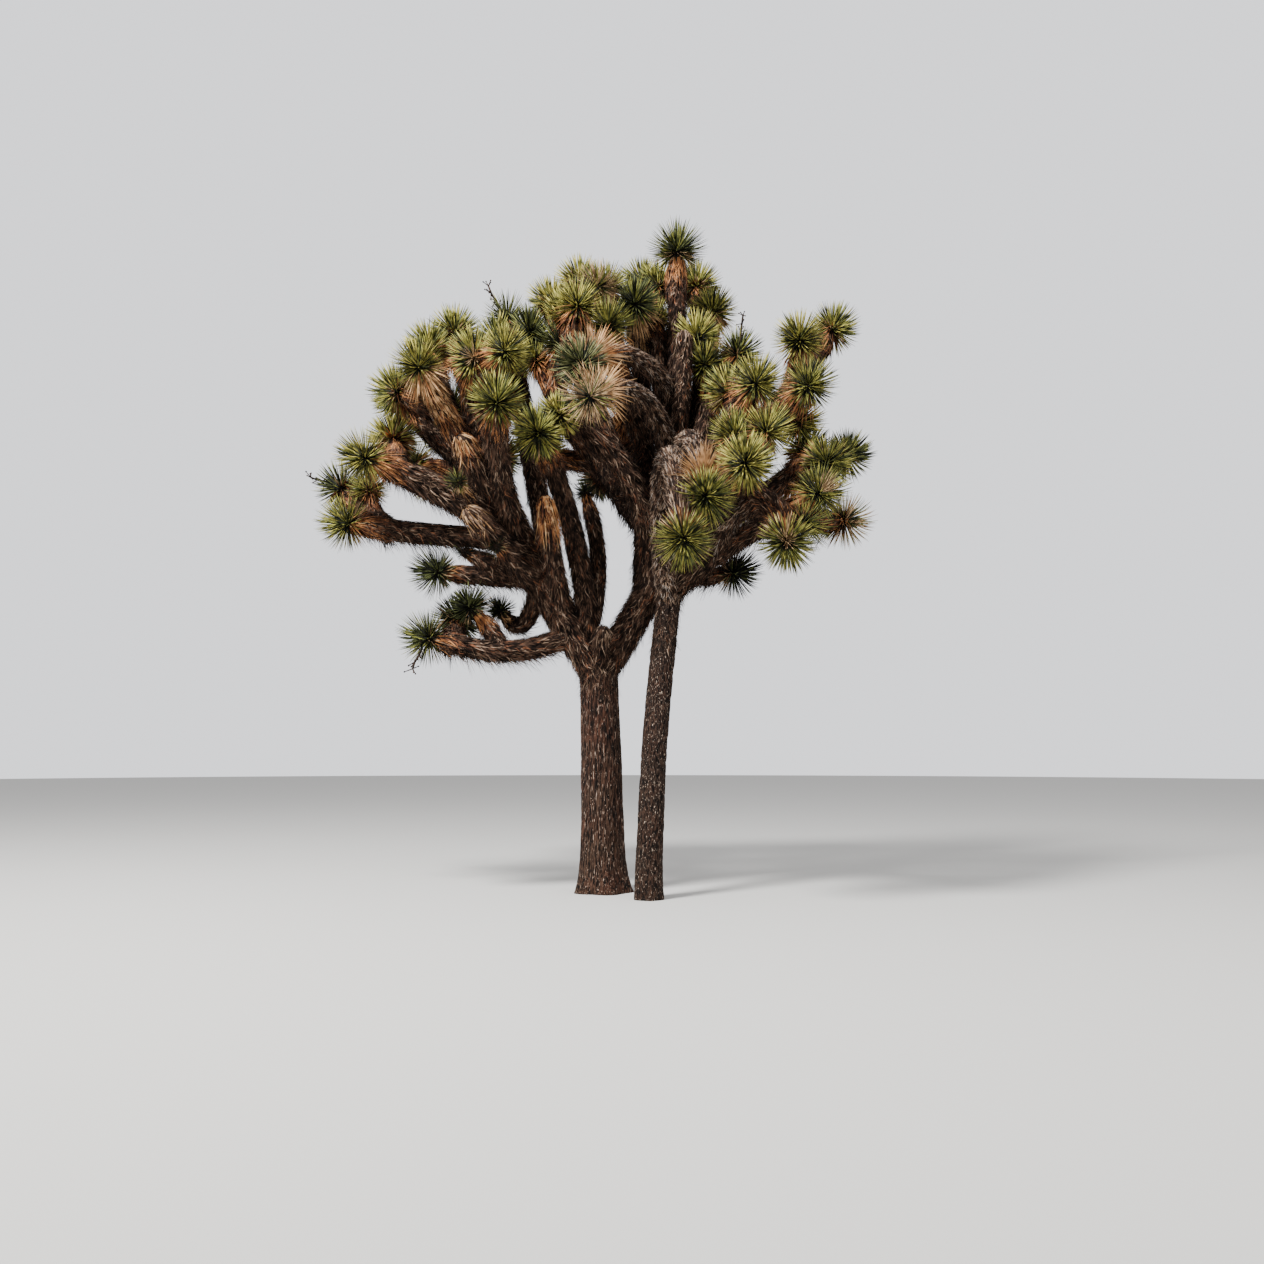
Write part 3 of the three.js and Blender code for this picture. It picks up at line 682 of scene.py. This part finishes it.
def matted_cores(name, those, around, spacing, nodes):
    whole = bmesh.new()
    for limb in those:
        along = max(6, int(limb.length / spacing))
        core = roll_bark(limb, around, along, CORE_HEIGHT, matted_relief, False)
        mesh = bpy.data.meshes.new("core")
        core.to_mesh(mesh)
        core.free()
        whole.from_mesh(mesh)
        bpy.data.meshes.remove(mesh)
    dress(finished(name, whole, thatch_mat_and_shade), nodes)


matted_cores("bough_cores", [limbs[name] for name in bough_names], 26, 0.05, bough_names)
matted_cores("arm_cores", arms, 16, 0.06, mass_nodes)

# %% [markdown]
# ## Joined leaves
# An operator for each of many thousand leaves would take minutes. Instead a numpy array holds all their
# corners, and one function turns it into a mesh. A dead leaf is a flat ribbon of two faces that narrows
# to a point. A live leaf is a three-sided spike, open only at its hidden base.

# %% Turning arrays into meshes
RIBBON = [(0, 1, 3, 2), (2, 3, 4)]
SPIKE = [(0, 1, 4, 3), (1, 2, 5, 4), (2, 0, 3, 5), (3, 4, 6), (4, 5, 6), (5, 3, 6)]
SHADE_CONE = [(0, 1, 3), (1, 2, 3), (2, 0, 3)]


def joined(name, corners, faces, material):
    """One mesh from many small things that share their faces. corners holds a row for each thing."""
    count, each = corners.shape[:2]
    sizes = np.tile([len(face) for face in faces], count)
    pattern = np.concatenate(faces)
    loops = (pattern + np.arange(count)[:, None] * each).ravel()
    mesh = bpy.data.meshes.new(name)
    mesh.vertices.add(count * each)
    mesh.vertices.foreach_set("co", corners.astype(np.float32).ravel())
    mesh.loops.add(len(loops))
    mesh.loops.foreach_set("vertex_index", loops.astype(np.int32))
    mesh.polygons.add(len(sizes))
    mesh.polygons.foreach_set("loop_start", np.concatenate([[0], np.cumsum(sizes)[:-1]]).astype(np.int32))
    mesh.update(calc_edges=True)
    mesh.materials.append(material)
    return add_object(name, mesh)


print("faces of a dead and of a live leaf:", len(RIBBON), "and", len(SPIKE))

# %% [markdown]
# ## The thatch
# A dead leaf stays on the limb, folds down and points back towards the limb's foot, so the coat looks
# like coarse fur. Each ribbon follows the limb by its root, its middle and its tip. Some, the bristles,
# stand off the coat and give the limb its rough outline. On a level limb all tips hang a little.

# %% Combing dead leaves along a limb
FLAT_ROOT = 0.86
BRISTLE_ROOT = 0.95
MIDDLE_PLACE = 0.45
MIDDLE_HEIGHT = 0.97
MIDDLE_LIFT = 0.4
MIDDLE_SAG = 0.25
TIP_SAG = 0.04
SIDE_STRAY = 0.032
WIDTH_SPREAD = (0.7, 1.2)
ribbons = {tint: [] for tint in DEAD_TINTS}
chance = np.random.default_rng(20)


def comb(limb, share, angle, length, lift, width, root_height=FLAT_ROOT):
    """Ribbons that run back along the limb. Lift is how far each tip stands off the skin, in metres."""
    back = length / limb.length
    inside = np.clip(share, 0, 1)
    radius = limb.radius(inside, angle)
    root = limb.skin(share, angle, root_height)
    middle = limb.skin(share - back * MIDDLE_PLACE, angle, MIDDLE_HEIGHT + MIDDLE_LIFT * lift / radius)
    stray = chance.normal(0, SIDE_STRAY, len(share)) / radius
    tip = limb.skin(share - back, angle + stray, 1 + lift / radius)
    level = 1 - np.abs(limb.heading(np.clip(share - back, 0, 1))[:, 2])
    middle[:, 2] -= level * lift * MIDDLE_SAG
    tip[:, 2] -= level * (TIP_SAG * length + lift)
    away = unit(np.cross(middle - root, root - limb.line(inside) + 1e-6))
    half = (width / 2)[:, None] * away
    return np.stack([root - half, root + half, middle - half, middle + half, tip], axis=1)


def strewn(count, start, end, lengths):
    """Shares, angles and lengths of dead leaves strewn evenly over a limb."""
    share = chance.uniform(start, end, count)
    angle = chance.uniform(0, TURN, count)
    return share, angle, chance.uniform(*lengths, count)


def deal(corners, shares):
    """Deals the ribbons out to the tints in the given shares."""
    tints = chance.choice(list(shares), size=len(corners), p=list(shares.values()))
    for tint in shares:
        ribbons[tint].append(corners[tints == tint])


def dead_leaves():
    return sum(len(part) for parts in ribbons.values() for part in parts)


print("tints of dead leaves to deal out:", len(ribbons))

# %% [markdown]
# The tints are dealt out by chance in shares. The old grey stubs have bleached in the sun. The limbs
# inside the crown get the darkest shares, as painted shade. The coat carries about 2,200 leaves on each
# square metre, a third of them bristles. Under level limbs hangs a longer fringe, dealt only the two
# darkest tints as painted shade.

# %% Thatch on every bough and arm
COAT_PER_AREA = 1500
COAT_LENGTH = (0.07, 0.15)
COAT_LIFT = 0.016
COAT_WIDTH = 0.0098
COAT_SPREAD = (0.7, 1.3)
BRISTLES_PER_AREA = 700
BRISTLE_LENGTH = (0.06, 0.14)
BRISTLE_LIFT = (0.008, 0.07)
BRISTLE_WIDTH = 0.01
FRINGE_PER_AREA = 420
FRINGE_LENGTH = (0.08, 0.17)
FRINGE_LIFT = (0.03, 0.12)
UNDERSIDE = 0.55
HOOKS = ["top_hook", "high_hook", "small_hook"]
SHORT_COATS = [*HOOKS, "front_hook", "grey_stub"]
SHORT_SHARE = 0.6
TINT_SHARES = {
    "plain": dict(umber=0.39, brown=0.43, fawn=0.12, rust=0.06),
    "dark": dict(umber=0.54, brown=0.38, fawn=0.05, rust=0.03),
    "grey": dict(umber=0.3, brown=0.34, fawn=0.22, grey=0.14),
    "stub": dict(umber=0.32, brown=0.36, fawn=0.24, grey=0.08),
}
# The fringe takes only the two darkest tints: painted shade under the limbs.
SHADED_FRINGE_SHARES = dict(umber=0.6, brown=0.4)
COATS = {
    # The limbs inside the crown take the dark shares: painted shade.
    "dark": ["inner_riser", "rear_riser", "tall_stem", "dead_stub_fork"],
    "grey": [*HOOKS, "front_hook", "front_hook_end"],
    "stub": ["right_arch"],
}
coat_named = {name: TINT_SHARES[look] for look, names in COATS.items() for name in names}


def thatch(limb, shares, start=0.02, end=1.0, density=1.0):
    """A flat coat, bristles that stand off it, and a fringe that hangs from its underside."""
    shag = SHORT_SHARE if limb.name in SHORT_COATS else 1.0
    area = TURN * float(limb.radius(0.5, 0.0)) * limb.length * (end - start) * density
    count = int(area * COAT_PER_AREA)
    share, angle, length = strewn(count, start, end, COAT_LENGTH)
    lift = COAT_LIFT * chance.random(count) ** 2
    width = COAT_WIDTH * chance.uniform(*COAT_SPREAD, count)
    deal(comb(limb, share, angle, shag * length, lift, width), shares)
    count = int(area * BRISTLES_PER_AREA)
    share, angle, length = strewn(count, start, end, BRISTLE_LENGTH)
    lift = shag * chance.uniform(*BRISTLE_LIFT, count)
    width = BRISTLE_WIDTH * chance.uniform(*WIDTH_SPREAD, count)
    deal(comb(limb, share, angle, shag * length, lift, width, BRISTLE_ROOT), shares)
    count = int(area * FRINGE_PER_AREA * shag)
    share, angle, length = strewn(count, start, end, FRINGE_LENGTH)
    lift = chance.uniform(*FRINGE_LIFT, count)
    corners = comb(limb, share, angle, length, lift, np.full(count, BRISTLE_WIDTH), BRISTLE_ROOT)
    deal(corners[-limb.outward(share, angle)[:, 2] > UNDERSIDE], SHADED_FRINGE_SHARES)


plain, dark = TINT_SHARES["plain"], TINT_SHARES["dark"]
for name in bough_names:
    thatch(limbs[name], coat_named.get(name, plain))
for arm in arms:
    thatch(arm, coat_named.get(arm.name, plain), end=1 - 1.2 * arm.heart / arm.length)
# The tops of the trunks, under the crown, take the dark shares: painted shade.
thatch(limbs["trunk"], dark, start=0.9, end=1.04, density=0.8)
thatch(limbs["second_stem"], dark, start=0.82, end=1.04, density=0.8)
print("dead leaves so far:", dead_leaves())

# %% [markdown]
# ## The look of each ball
# Some balls are a bright yellow green, partly painted light, some a dull dark olive, and a few have died
# back to straw. Balls in the shade of the crown take the dusk and shade tints, which are painted shade.
# Under each hangs a skirt of leaves that died lately. The table gives the tint of the leaves, the tint of
# the skirt, and the skirt's size. Balls that it leaves out, most of them at the back, are dealt a look.

# %% Looks of the balls
BALL_LOOKS = {
    ("sunlit", "orange"): dict(far_left=1.3, left_top=1.3, crown_left_2=0.9, young_left_top=1.0),
    ("sunlit", "rust"): dict(
        far_left_1=0.9, mid_left=0.8, crown_left=1.0, crown_left_1=0.8, right_front=1.2,
        far_right_top=1.0, far_right_side_1=1.0, right_middle=0.9, right_middle_1=1.0,
        young_crown=1.1, young_stem=0.6,
    ),
    ("sunlit", "amber"): dict(left_shoulder=1.9),
    ("sunlit", "tan"): dict(behind_leader_2=1.0),
    ("green", "rust"): dict(
        left_low=0.9, left_shoulder_1=0.9, left_shoulder_2=0.8, left_top_1=0.9, left_inner=0.8,
        crown_rear_1=0.8, crown_rear_2=0.8, behind_leader_1=0.8, right_front_1=0.9,
        far_right_top_1=0.8, right_middle_2=0.9, right_arm_end_1=0.8, right_arch_end=0.4,
        right_arch_end_1=0.4, front_hook_end=0.9, young_shoulder=0.9, young_low=0.7,
    ),
    ("green", "orange"): dict(
        left_top_2=0.9, inner_front=1.4, crown_middle=1.1, right_top=1.4, far_right_side=1.2,
        right_arm_end=0.9, right_low=1.1, young_inner=0.9,
    ),
    ("green", "tan"): dict(crown_middle_1=0.9, behind_leader=1.1, small_hook=1.8),
    ("olive", "rust"): dict(
        left_low_1=0.8, low_left=0.4, upper_left=0.9, mid_left_1=0.8, right_top_1=0.9,
        right_arm_end_2=0.8, young_left_rear=0.8, young_upper=0.9, young_stem_rear=0.6,
    ),
    ("olive", "tan"): dict(young_shoot=0.6, crown_rear=1.3),
    ("olive", "orange"): dict(upper_left_1=0.9, leader=0.75, young_middle=1.0),
    ("blue", "amber"): dict(top_hook=1.8),
    # Balls in the shade of the crown: the dusk and shade tints are painted shade.
    ("dusk", "rust"): dict(level_arm=0.3, low_left_1=0.3),
    ("dusk", "orange"): dict(low_upturned=0.3),
    ("shade", "tan"): dict(curled=0.4),
    ("shade", "orange"): dict(thin_arm=0.7),
    ("shade", "dim"): dict(under_right=0.5),
    ("shade", "rust"): dict(back_middle_end_4=0.5, young_side=0.3, young_bud=0.3),
    ("straw", "tan"): dict(high_hook=1.2, young_top=1.0),
    ("straw", "rust"): dict(right_low_1=1.0),
}
ANY_TINT = ["sunlit", "green", "green", "olive"]
ANY_SKIRT = ["rust", "orange", "rust"]
looks_named = {name: (*tints, size) for tints, sizes in BALL_LOOKS.items() for name, size in sizes.items()}


def look_of(arm):
    if arm.name in looks_named:
        return looks_named[arm.name]
    return str(chance.choice(ANY_TINT)), str(chance.choice(ANY_SKIRT)), 1.0


looks = [look_of(arm) for arm in arms]
print("balls with a look of their own:", len(looks_named), "of", len(arms))

# %% [markdown]
# The newest dead leaves, next to the ball, still stand well out. Those further down lie nearly flat. On
# some upright arms all of them hang close. A few balls that bow down show their skirt as a wide wheel
# of dead leaves, and have bare necks. Each skirt has three tints from top to bottom.

# %% The skirts under the balls
SKIRT_WIDTH = 0.013
SKIRT_NECK = 0.08
SKIRT_DEPTH = 0.28
FLARING_COUNT = 120
FLARING_LENGTH = 0.32
FLARING_SPREAD = (0.75, 1.1)
FLARING_LEAN = (66, 26)
LEAN_STRAY = 7
WIDE_LEAN = (100, 45)
WIDE_DEPTH = 0.16
CLOSE_COUNT = 140
CLOSE_LENGTH = (0.2, 0.36)
CLOSE_LIFT = (0.006, 0.03)
CLOSE_ROOT = 0.9
ROOT_OUT = 0.03
SKIRT_SAG = 0.08
DEEPEST = 0.6
TINT_STRAY = (0.2, 0.9)
SKIRT_TINTS = {
    "orange": ["orange", "orange", "rust"],
    "rust": ["orange", "rust", "brown"],
    # Darker dead tints for the skirt of a ball in the crown's shade: painted shade.
    "dim": ["rust", "brown", "umber"],
    "tan": ["tan", "tan", "tan"],
    "amber": ["tan", "tan", "orange"],
}
CLOSE_SKIRTS = ["leader", "inner_front", "right_top", "low_left", "low_left_1", "low_upturned", "level_arm"]
WIDE_SKIRTS = [*HOOKS, "behind_leader_2"]
BARE_NECKS = [*HOOKS, "front_hook_end"]


def eased(least, size, most=np.inf):
    """Follows the size, but falls only to least as the size falls to nothing."""
    return min(most, least + (1 - least) * size)


def deal_by_depth(corners, depth, tint):
    """The first tint goes mostly to the top of the skirt, and the last to its foot."""
    step = np.clip(3 * depth + chance.normal(*TINT_STRAY, len(depth)), 0, 2).astype(int)
    for i, name in enumerate(SKIRT_TINTS[tint]):
        ribbons[name].append(corners[step == i])


def flaring_skirt(arm, tint, size):
    """Leaves that stand out from the arm, less so with their depth below the ball."""
    count = int(FLARING_COUNT * size * arm.size)
    depth = chance.random(count)
    angle = chance.uniform(0, TURN, count)
    if arm.name in WIDE_SKIRTS:
        top_lean, foot_lean = WIDE_LEAN
        share = 1 - (SKIRT_NECK + depth * WIDE_DEPTH) / arm.length
    else:
        top_lean, foot_lean = FLARING_LEAN
        share = 1 - depth * 0.5 * arm.heart / arm.length
    lean = top_lean + (foot_lean - top_lean) * depth + chance.normal(0, LEAN_STRAY, count)
    lean = np.radians(lean)[:, None]
    length = FLARING_LENGTH * arm.size * eased(0.6, size, 1.15) * chance.uniform(*FLARING_SPREAD, count)
    outward = arm.outward(share, angle)
    way = outward * np.sin(lean) - arm.heading(share) * np.cos(lean)
    root = arm.line(share) + outward * ROOT_OUT * arm.size
    along = way * length[:, None]
    tip = root + along
    tip[:, 2] -= SKIRT_SAG * length
    middle = root + along * 0.5
    across = unit(np.cross(way, outward))
    half = (SKIRT_WIDTH * arm.size / 2) * across * chance.uniform(*WIDTH_SPREAD, (count, 1))
    corners = np.stack([root - half, root + half, middle - half, middle + half, tip], axis=1)
    deal_by_depth(corners, depth * DEEPEST, tint)


def close_skirt(arm, tint, size):
    """Leaves that lie nearly flat on the arm below its neck."""
    count = int(CLOSE_COUNT * eased(0.3, size) * arm.size)
    depth = chance.random(count)
    share = 1 - (SKIRT_NECK + depth * SKIRT_DEPTH * min(1.3, size)) * arm.size / arm.length
    angle = chance.uniform(0, TURN, count)
    length = chance.uniform(*CLOSE_LENGTH, count) * arm.size * eased(0.5, size, 1.2)
    lift = chance.uniform(*CLOSE_LIFT, count) * arm.size
    width = SKIRT_WIDTH * arm.size * chance.uniform(*WIDTH_SPREAD, count)
    deal_by_depth(comb(arm, share, angle, length, lift, width, CLOSE_ROOT), depth, tint)


for arm, (_, tint, size) in zip(arms, looks):
    if arm.name not in BARE_NECKS:
        close_skirt(arm, tint, size)
    if arm.name not in CLOSE_SKIRTS:
        flaring_skirt(arm, tint, size)
print("dead leaves with skirts:", dead_leaves())

# %% [markdown]
# A limb that has lost its live leaves keeps a mop of dead ones, which fall back all round its end. A mop
# is its tints, its count of leaves, their shortest and longest, and how far down they start, in radii.

# %% Mops on the dead stubs
MOP_WIDTH = (0.009, 0.016)
MOP_LIFT = (0.008, 0.078)
MOP_ROOT = 1.02
MOPS = {
    "dead_stub_inner": (dict(orange=0.3, tan=0.3, rust=0.2, umber=0.2), 300, (0.2, 0.4), 3.2),
    "dead_stub_left": (dict(orange=0.3, tan=0.4, rust=0.3), 110, (0.12, 0.26), 1.8),
    "dead_stub_low": (dict(tan=0.25, fawn=0.35, brown=0.4), 170, (0.1, 0.24), 1.8),
    "grey_stub": (dict(fawn=0.3, brown=0.4, umber=0.3), 70, (0.1, 0.2), 1.8),
    "dead_stub_fork": (dict(fawn=0.4, umber=0.3, brown=0.3), 90, (0.1, 0.2), 1.8),
}
for name, (shares, count, span, spread) in MOPS.items():
    stub = limbs[name]
    end_radius = float(stub.radius(1.0, 0.0))
    share = 1 + end_radius / stub.length * (1 - spread * chance.random(count) ** 1.5)
    angle = chance.uniform(0, TURN, count)
    length = chance.uniform(*span, count)
    lift = np.interp(chance.random(count) ** 2, (0, 1), MOP_LIFT)
    width = chance.uniform(*MOP_WIDTH, count)
    deal(comb(stub, share, angle, length, lift, width, MOP_ROOT), shares)
print("dead leaves with mops:", dead_leaves())

# %% [markdown]
# ## The live leaves
# The leaves of a ball point every way but back along their arm, spread evenly by a golden spiral. Those
# that point forward are the longest, and some of the oldest, at the back, have begun to turn straw. Round
# the base of each leaf stands a short cone in the near-black shade tint: painted shade, because hardly any
# light gets in between the bases. Balls in the shade of the crown have fewer and slimmer leaves, and in
# three balls the leaves round last year's flower have dried.

# %% Spreading the leaves of a ball
LEAVES_PER_BALL = 340
LEAF_WIDTH = 0.0158
LEAF_LENGTH = (1.0, 1.16)
LONG_LEAVES = {"leader": 1.1}
FORWARD_LEAF = 1.08
BACKWARD_LEAF = 0.9
LEAF_STRAY = 0.05
TURN_STRAY = 0.06
WIDEST_POLAR = 135
BLADE_RINGS = ((0.14, 0.9), (0.72, 0.78))
SECTION = [(-0.5, 0.1), (0.5, 0.1), (0.0, -0.26)]
TIP_RISE = 0.05
# A near-black cone round the base of each leaf paints the shade between the bases.
SHADE_CONE_RINGS = ((0.05, 1.9),)
SHADE_CONE_LENGTH = 0.72
SHADE_CONE_SPREAD = (0.8, 1.1)
BLADE_SPREAD = (0.8, 1.15)
OLD_COSINE = -0.3
OLD_SHARE = 0.3
# Near-black leaves of the shade tint are dealt into every ball: painted shade in the gaps between the
# leaves. The dusk and shade mixes paint balls that lie in the crown's shade.
NEIGHBOUR_TINTS = {
    "sunlit": ["sunlit"] * 5 + ["green"] * 3 + ["olive", "shade"],
    "green": ["green"] * 4 + ["sunlit"] * 2 + ["olive"] * 2 + ["shade"],
    "olive": ["olive", "olive", "green", "shade"],
    "blue": ["blue", "blue", "olive", "shade"],
    "dusk": ["olive", "olive", "shade"],
    "shade": ["shade", "shade", "shade", "olive"],
    "straw": ["straw", "straw", "straw", "green", "olive"],
}
THIN_BALLS = {
    0.9: ["level_arm", "low_upturned", "low_left", "curled"],
    0.8: ["low_left_1"],
    0.7: ["left_low_1", "upper_left", "right_low_1"],
    0.6: ["thin_arm", "right_arch_end_1"],
    0.5: ["young_shoot", "high_hook", "young_side", "young_bud"],
}
thin_named = {name: thin for thin, names in THIN_BALLS.items() for name in names}
DRY_HEARTS = {
    "right_arch_end": (0.0, -1.0, 0.0),
    "right_low": (0.45, -0.8, 0.35),
    "left_top": (0.0, -1.0, -0.2),
}
DRY_COSINE = 0.84
DRY_LEAF = 0.8
spikes = {tint: [] for tint in LEAF_TINTS}
shade_cone_parts = []


def leaf_directions(heading, count):
    """Directions on a golden spiral from the heading to the widest polar angle."""
    step = np.arange(count) + 0.5
    cosine = 1 - step / count * (1 - math.cos(math.radians(WIDEST_POLAR)))
    sine = np.sqrt(1 - cosine**2)
    turn = step * math.radians(GOLDEN_ANGLE) + chance.normal(0, TURN_STRAY, count)
    first = unit(np.cross(heading, vector((0.3, 0.9, 0.1))))
    second = np.cross(heading, first)
    sideways = first * np.cos(turn)[:, None] + second * np.sin(turn)[:, None]
    directions = heading * cosine[:, None] + sideways * sine[:, None]
    return unit(directions + chance.normal(0, LEAF_STRAY, (count, 3))), cosine


def spike_corners(centre, directions, lengths, rings, width, heading):
    """Leaves with a flat three-cornered section. Rings are shares of the length, with their widths."""
    across = unit(np.cross(directions, heading) + 1e-6)
    above = np.cross(across, directions)
    rows = []
    for place, scale in rings:
        middle = centre + directions * (lengths * place)[:, None]
        for side, rise in SECTION:
            rows.append(middle + (across * side + above * rise) * (width * scale)[:, None])
    tip = centre + directions * lengths[:, None]
    tip[:, 2] += TIP_RISE * lengths * (1 - directions[:, 2] ** 2)
    rows.append(tip)
    return np.stack(rows, axis=1)


def ball(index):
    """Deals the leaves of one ball out to their tints, and says how many there was room for."""
    arm = arms[index]
    heading = arm.heading(1.0)
    thin = thin_named.get(arm.name, 1.0)
    count = int(LEAVES_PER_BALL * eased(0.45, arm.size) * thin)
    directions, cosine = leaf_directions(heading, count)
    grown = np.interp(cosine, (-0.5, 0, 0.4, 1), (BACKWARD_LEAF, 1, 1, FORWARD_LEAF))
    wanted = arm.reach * LONG_LEAVES.get(arm.name, 1.0) * grown * chance.uniform(*LEAF_LENGTH, count)
    lengths = room_for(index, directions, wanted)
    width = LEAF_WIDTH * eased(0.4, arm.size) * thin**0.5 * chance.uniform(*BLADE_SPREAD, count)
    blades = spike_corners(arm.tip, directions, lengths, BLADE_RINGS, width, heading)
    # Painted shade: a near-black cone round the base of each leaf.
    shade_cone = np.full(count, arm.reach * SHADE_CONE_LENGTH) * chance.uniform(*SHADE_CONE_SPREAD, count)
    shade_cones = spike_corners(arm.tip, directions, shade_cone, SHADE_CONE_RINGS, width, heading)
    tints = chance.choice(NEIGHBOUR_TINTS[looks[index][0]], size=count)
    old = (cosine < OLD_COSINE) & (chance.random(count) < OLD_SHARE)
    tints = np.where(old, "straw", tints)
    kept = lengths > 0
    green = kept
    if arm.name in DRY_HEARTS:
        dry = directions @ unit(vector(DRY_HEARTS[arm.name])) > DRY_COSINE
        tints = np.where(dry, "straw", tints)
        blades[dry] = arm.tip + DRY_LEAF * (blades[dry] - arm.tip)
        green = kept & ~dry
    for name in LEAF_TINTS:
        spikes[name].append(blades[kept & (tints == name)])
    shade_cone_parts.append(shade_cones[green])
    return kept.sum()


kept = [ball(index) for index in range(len(arms))]
print("live leaves:", sum(kept), "and in the barest ball:", min(kept))

# %% Joining each tint into a piece
LARGEST_PIECE = 190000


def join_tint(kind, tint, parts, faces, material, nodes):
    corners = np.concatenate(parts)
    triangles = sum(len(face) - 2 for face in faces)
    pieces = math.ceil(len(corners) * triangles / LARGEST_PIECE)
    for i, part in enumerate(np.array_split(corners, pieces)):
        dress(joined(f"{kind}_{tint}_{i + 1}", part, faces, material), nodes)


for tint, material in LEAF_TINTS.items():
    join_tint("leaves", tint, spikes[tint], SPIKE, material, mass_nodes)
# The cones round the leaf bases are painted shade.
join_tint("leaf_shade_cones", "shade", shade_cone_parts, SHADE_CONE, LEAF_TINTS["shade"], mass_nodes)
for tint, material in DEAD_TINTS.items():
    join_tint("dead_leaves", tint, ribbons[tint], RIBBON, material, bough_names + mass_nodes)

# %% [markdown]
# ## The hearts of the balls
# Where the leaves meet stands a small bud in the near-black shade tint, painted shade at the heart of the
# ball, so that no ball can be seen through.

# %% Buds in the balls
BUD_RADIUS = 0.05
buds = bmesh.new()
for arm in arms:
    made = bmesh.ops.create_icosphere(buds, subdivisions=2, radius=BUD_RADIUS * arm.size)
    bmesh.ops.translate(buds, verts=made["verts"], vec=Vector(arm.tip))
# The buds take the near-black shade tint: painted shade.
dress(finished("leaf_buds_painted_shade", buds, LEAF_TINTS["shade"]), mass_nodes)

# %% [markdown]
# ## Dry flower stalks
# Last year's flower stalks still stand in a few balls: a bent row of cones with short side twigs, and a
# dry seed case at the end of each.

# %% Flower stalks
STALKS = {
    "upper_left": ((-0.42, -0.2, 0.88), 0.44),
    "left_low_1": ((-0.75, -0.2, 0.3), 0.36),
    "low_left": ((-0.25, -0.3, -0.7), 0.4),
    "right_top_1": ((0.1, -0.1, 0.95), 0.46),
}
STALK_STEPS = 5
STALK_RADIUS = 0.018
STALK_TAPER = 0.0015
STALK_BEND = 0.12
TWIGS_PER_STEP = 4
TWIG_LENGTH = (0.05, 0.09)
TWIG_SIDES = 6
TWIG_LEAN = 0.6
TWIG_RADII = (0.007, 0.004)
CASE_RADIUS = 0.01
stalk_skin = leaf_skin("dry flower stalk", "#150f0b", "#43352b", 0.9)
stalks = bmesh.new()


def twig(start, end, thick, thin):
    """A cone from start to end."""
    way = Vector(end) - Vector(start)
    made = bmesh.ops.create_cone(
        stalks, cap_ends=True, cap_tris=True, segments=TWIG_SIDES,
        radius1=thick, radius2=thin, depth=way.length,
    )
    turn = way.to_track_quat("Z", "Y").to_matrix()
    bmesh.ops.rotate(stalks, verts=made["verts"], cent=(0, 0, 0), matrix=turn)
    bmesh.ops.translate(stalks, verts=made["verts"], vec=(Vector(start) + Vector(end)) / 2)


def flower_stalk(arm, way, length):
    way = unit(vector(way))
    place = arm.tip
    for step in range(STALK_STEPS):
        following = place + unit(way + chance.normal(0, STALK_BEND, 3)) * length / STALK_STEPS
        thick = STALK_RADIUS - STALK_TAPER * step
        twig(place, following, thick, thick - STALK_TAPER)
        place = following
        if step < 1:
            continue
        for _ in range(TWIGS_PER_STEP):
            lean = unit(TWIG_LEAN * way + chance.normal(0, TWIG_LEAN, 3))
            end = place + lean * chance.uniform(*TWIG_LENGTH)
            twig(place, end, *TWIG_RADII)
            case = bmesh.ops.create_icosphere(stalks, subdivisions=1, radius=CASE_RADIUS)
            bmesh.ops.translate(stalks, verts=case["verts"], vec=Vector(end))


for name, (way, length) in STALKS.items():
    flower_stalk(by_name[name], way, length)
dress(finished("flower_stalks", stalks, stalk_skin, smooth=False), mass_nodes)

# %% [markdown]
# ## Floor and light
# A soft, even light, as under a bright grey sky: a broad key light from the upper left, a weaker one from
# the right, and a pale world. The world looks nearly twice as bright as it shines, so that the shade
# inside the crown stays deep.

# %% Floor, lights and world
FLOOR_RADIUS = 60.0
SKY_LIGHT = 1.05
SKY_SEEN = 1.95

floor_mesh = bmesh.new()
bmesh.ops.create_circle(floor_mesh, cap_ends=True, segments=96, radius=FLOOR_RADIUS)
floor_skin, floor_tree = new_material("matt pale floor")
add_shader(floor_tree, colour("#cfcdc8"), roughness=1.0, gloss=0.5)
finished("floor", floor_mesh, floor_skin, smooth=False)


def soft_light(name, place, target, size, watts):
    data = bpy.data.lights.new(name, "AREA")
    data.shape = "DISK"
    data.size = size
    data.energy = watts
    light = add_object(name, data)
    light.location = place
    light.rotation_euler = (Vector(target) - Vector(place)).to_track_quat("-Z", "Y").to_euler()


soft_light("key", (-7, -8, 16), (0, 0, 4.5), 4.0, 7000)
soft_light("fill", (9, -9, 9), (0, 0, 4), 7.0, 500)
world = bpy.data.worlds.new("pale sky")
world.use_nodes = True
sky = world.node_tree
sky.nodes.clear()
seen = add_node(sky, "ShaderNodeLightPath").outputs["Is Camera Ray"]
levels = {"Value": seen, "To Min": SKY_LIGHT, "To Max": SKY_SEEN}
strength = add_node(sky, "ShaderNodeMapRange", levels).outputs["Result"]
background = add_node(sky, "ShaderNodeBackground", {"Color": colour("#dddee2"), "Strength": strength})
add_node(sky, "ShaderNodeOutputWorld", {"Surface": background.outputs["Background"]})
bpy.context.scene.world = world
print("lights set")
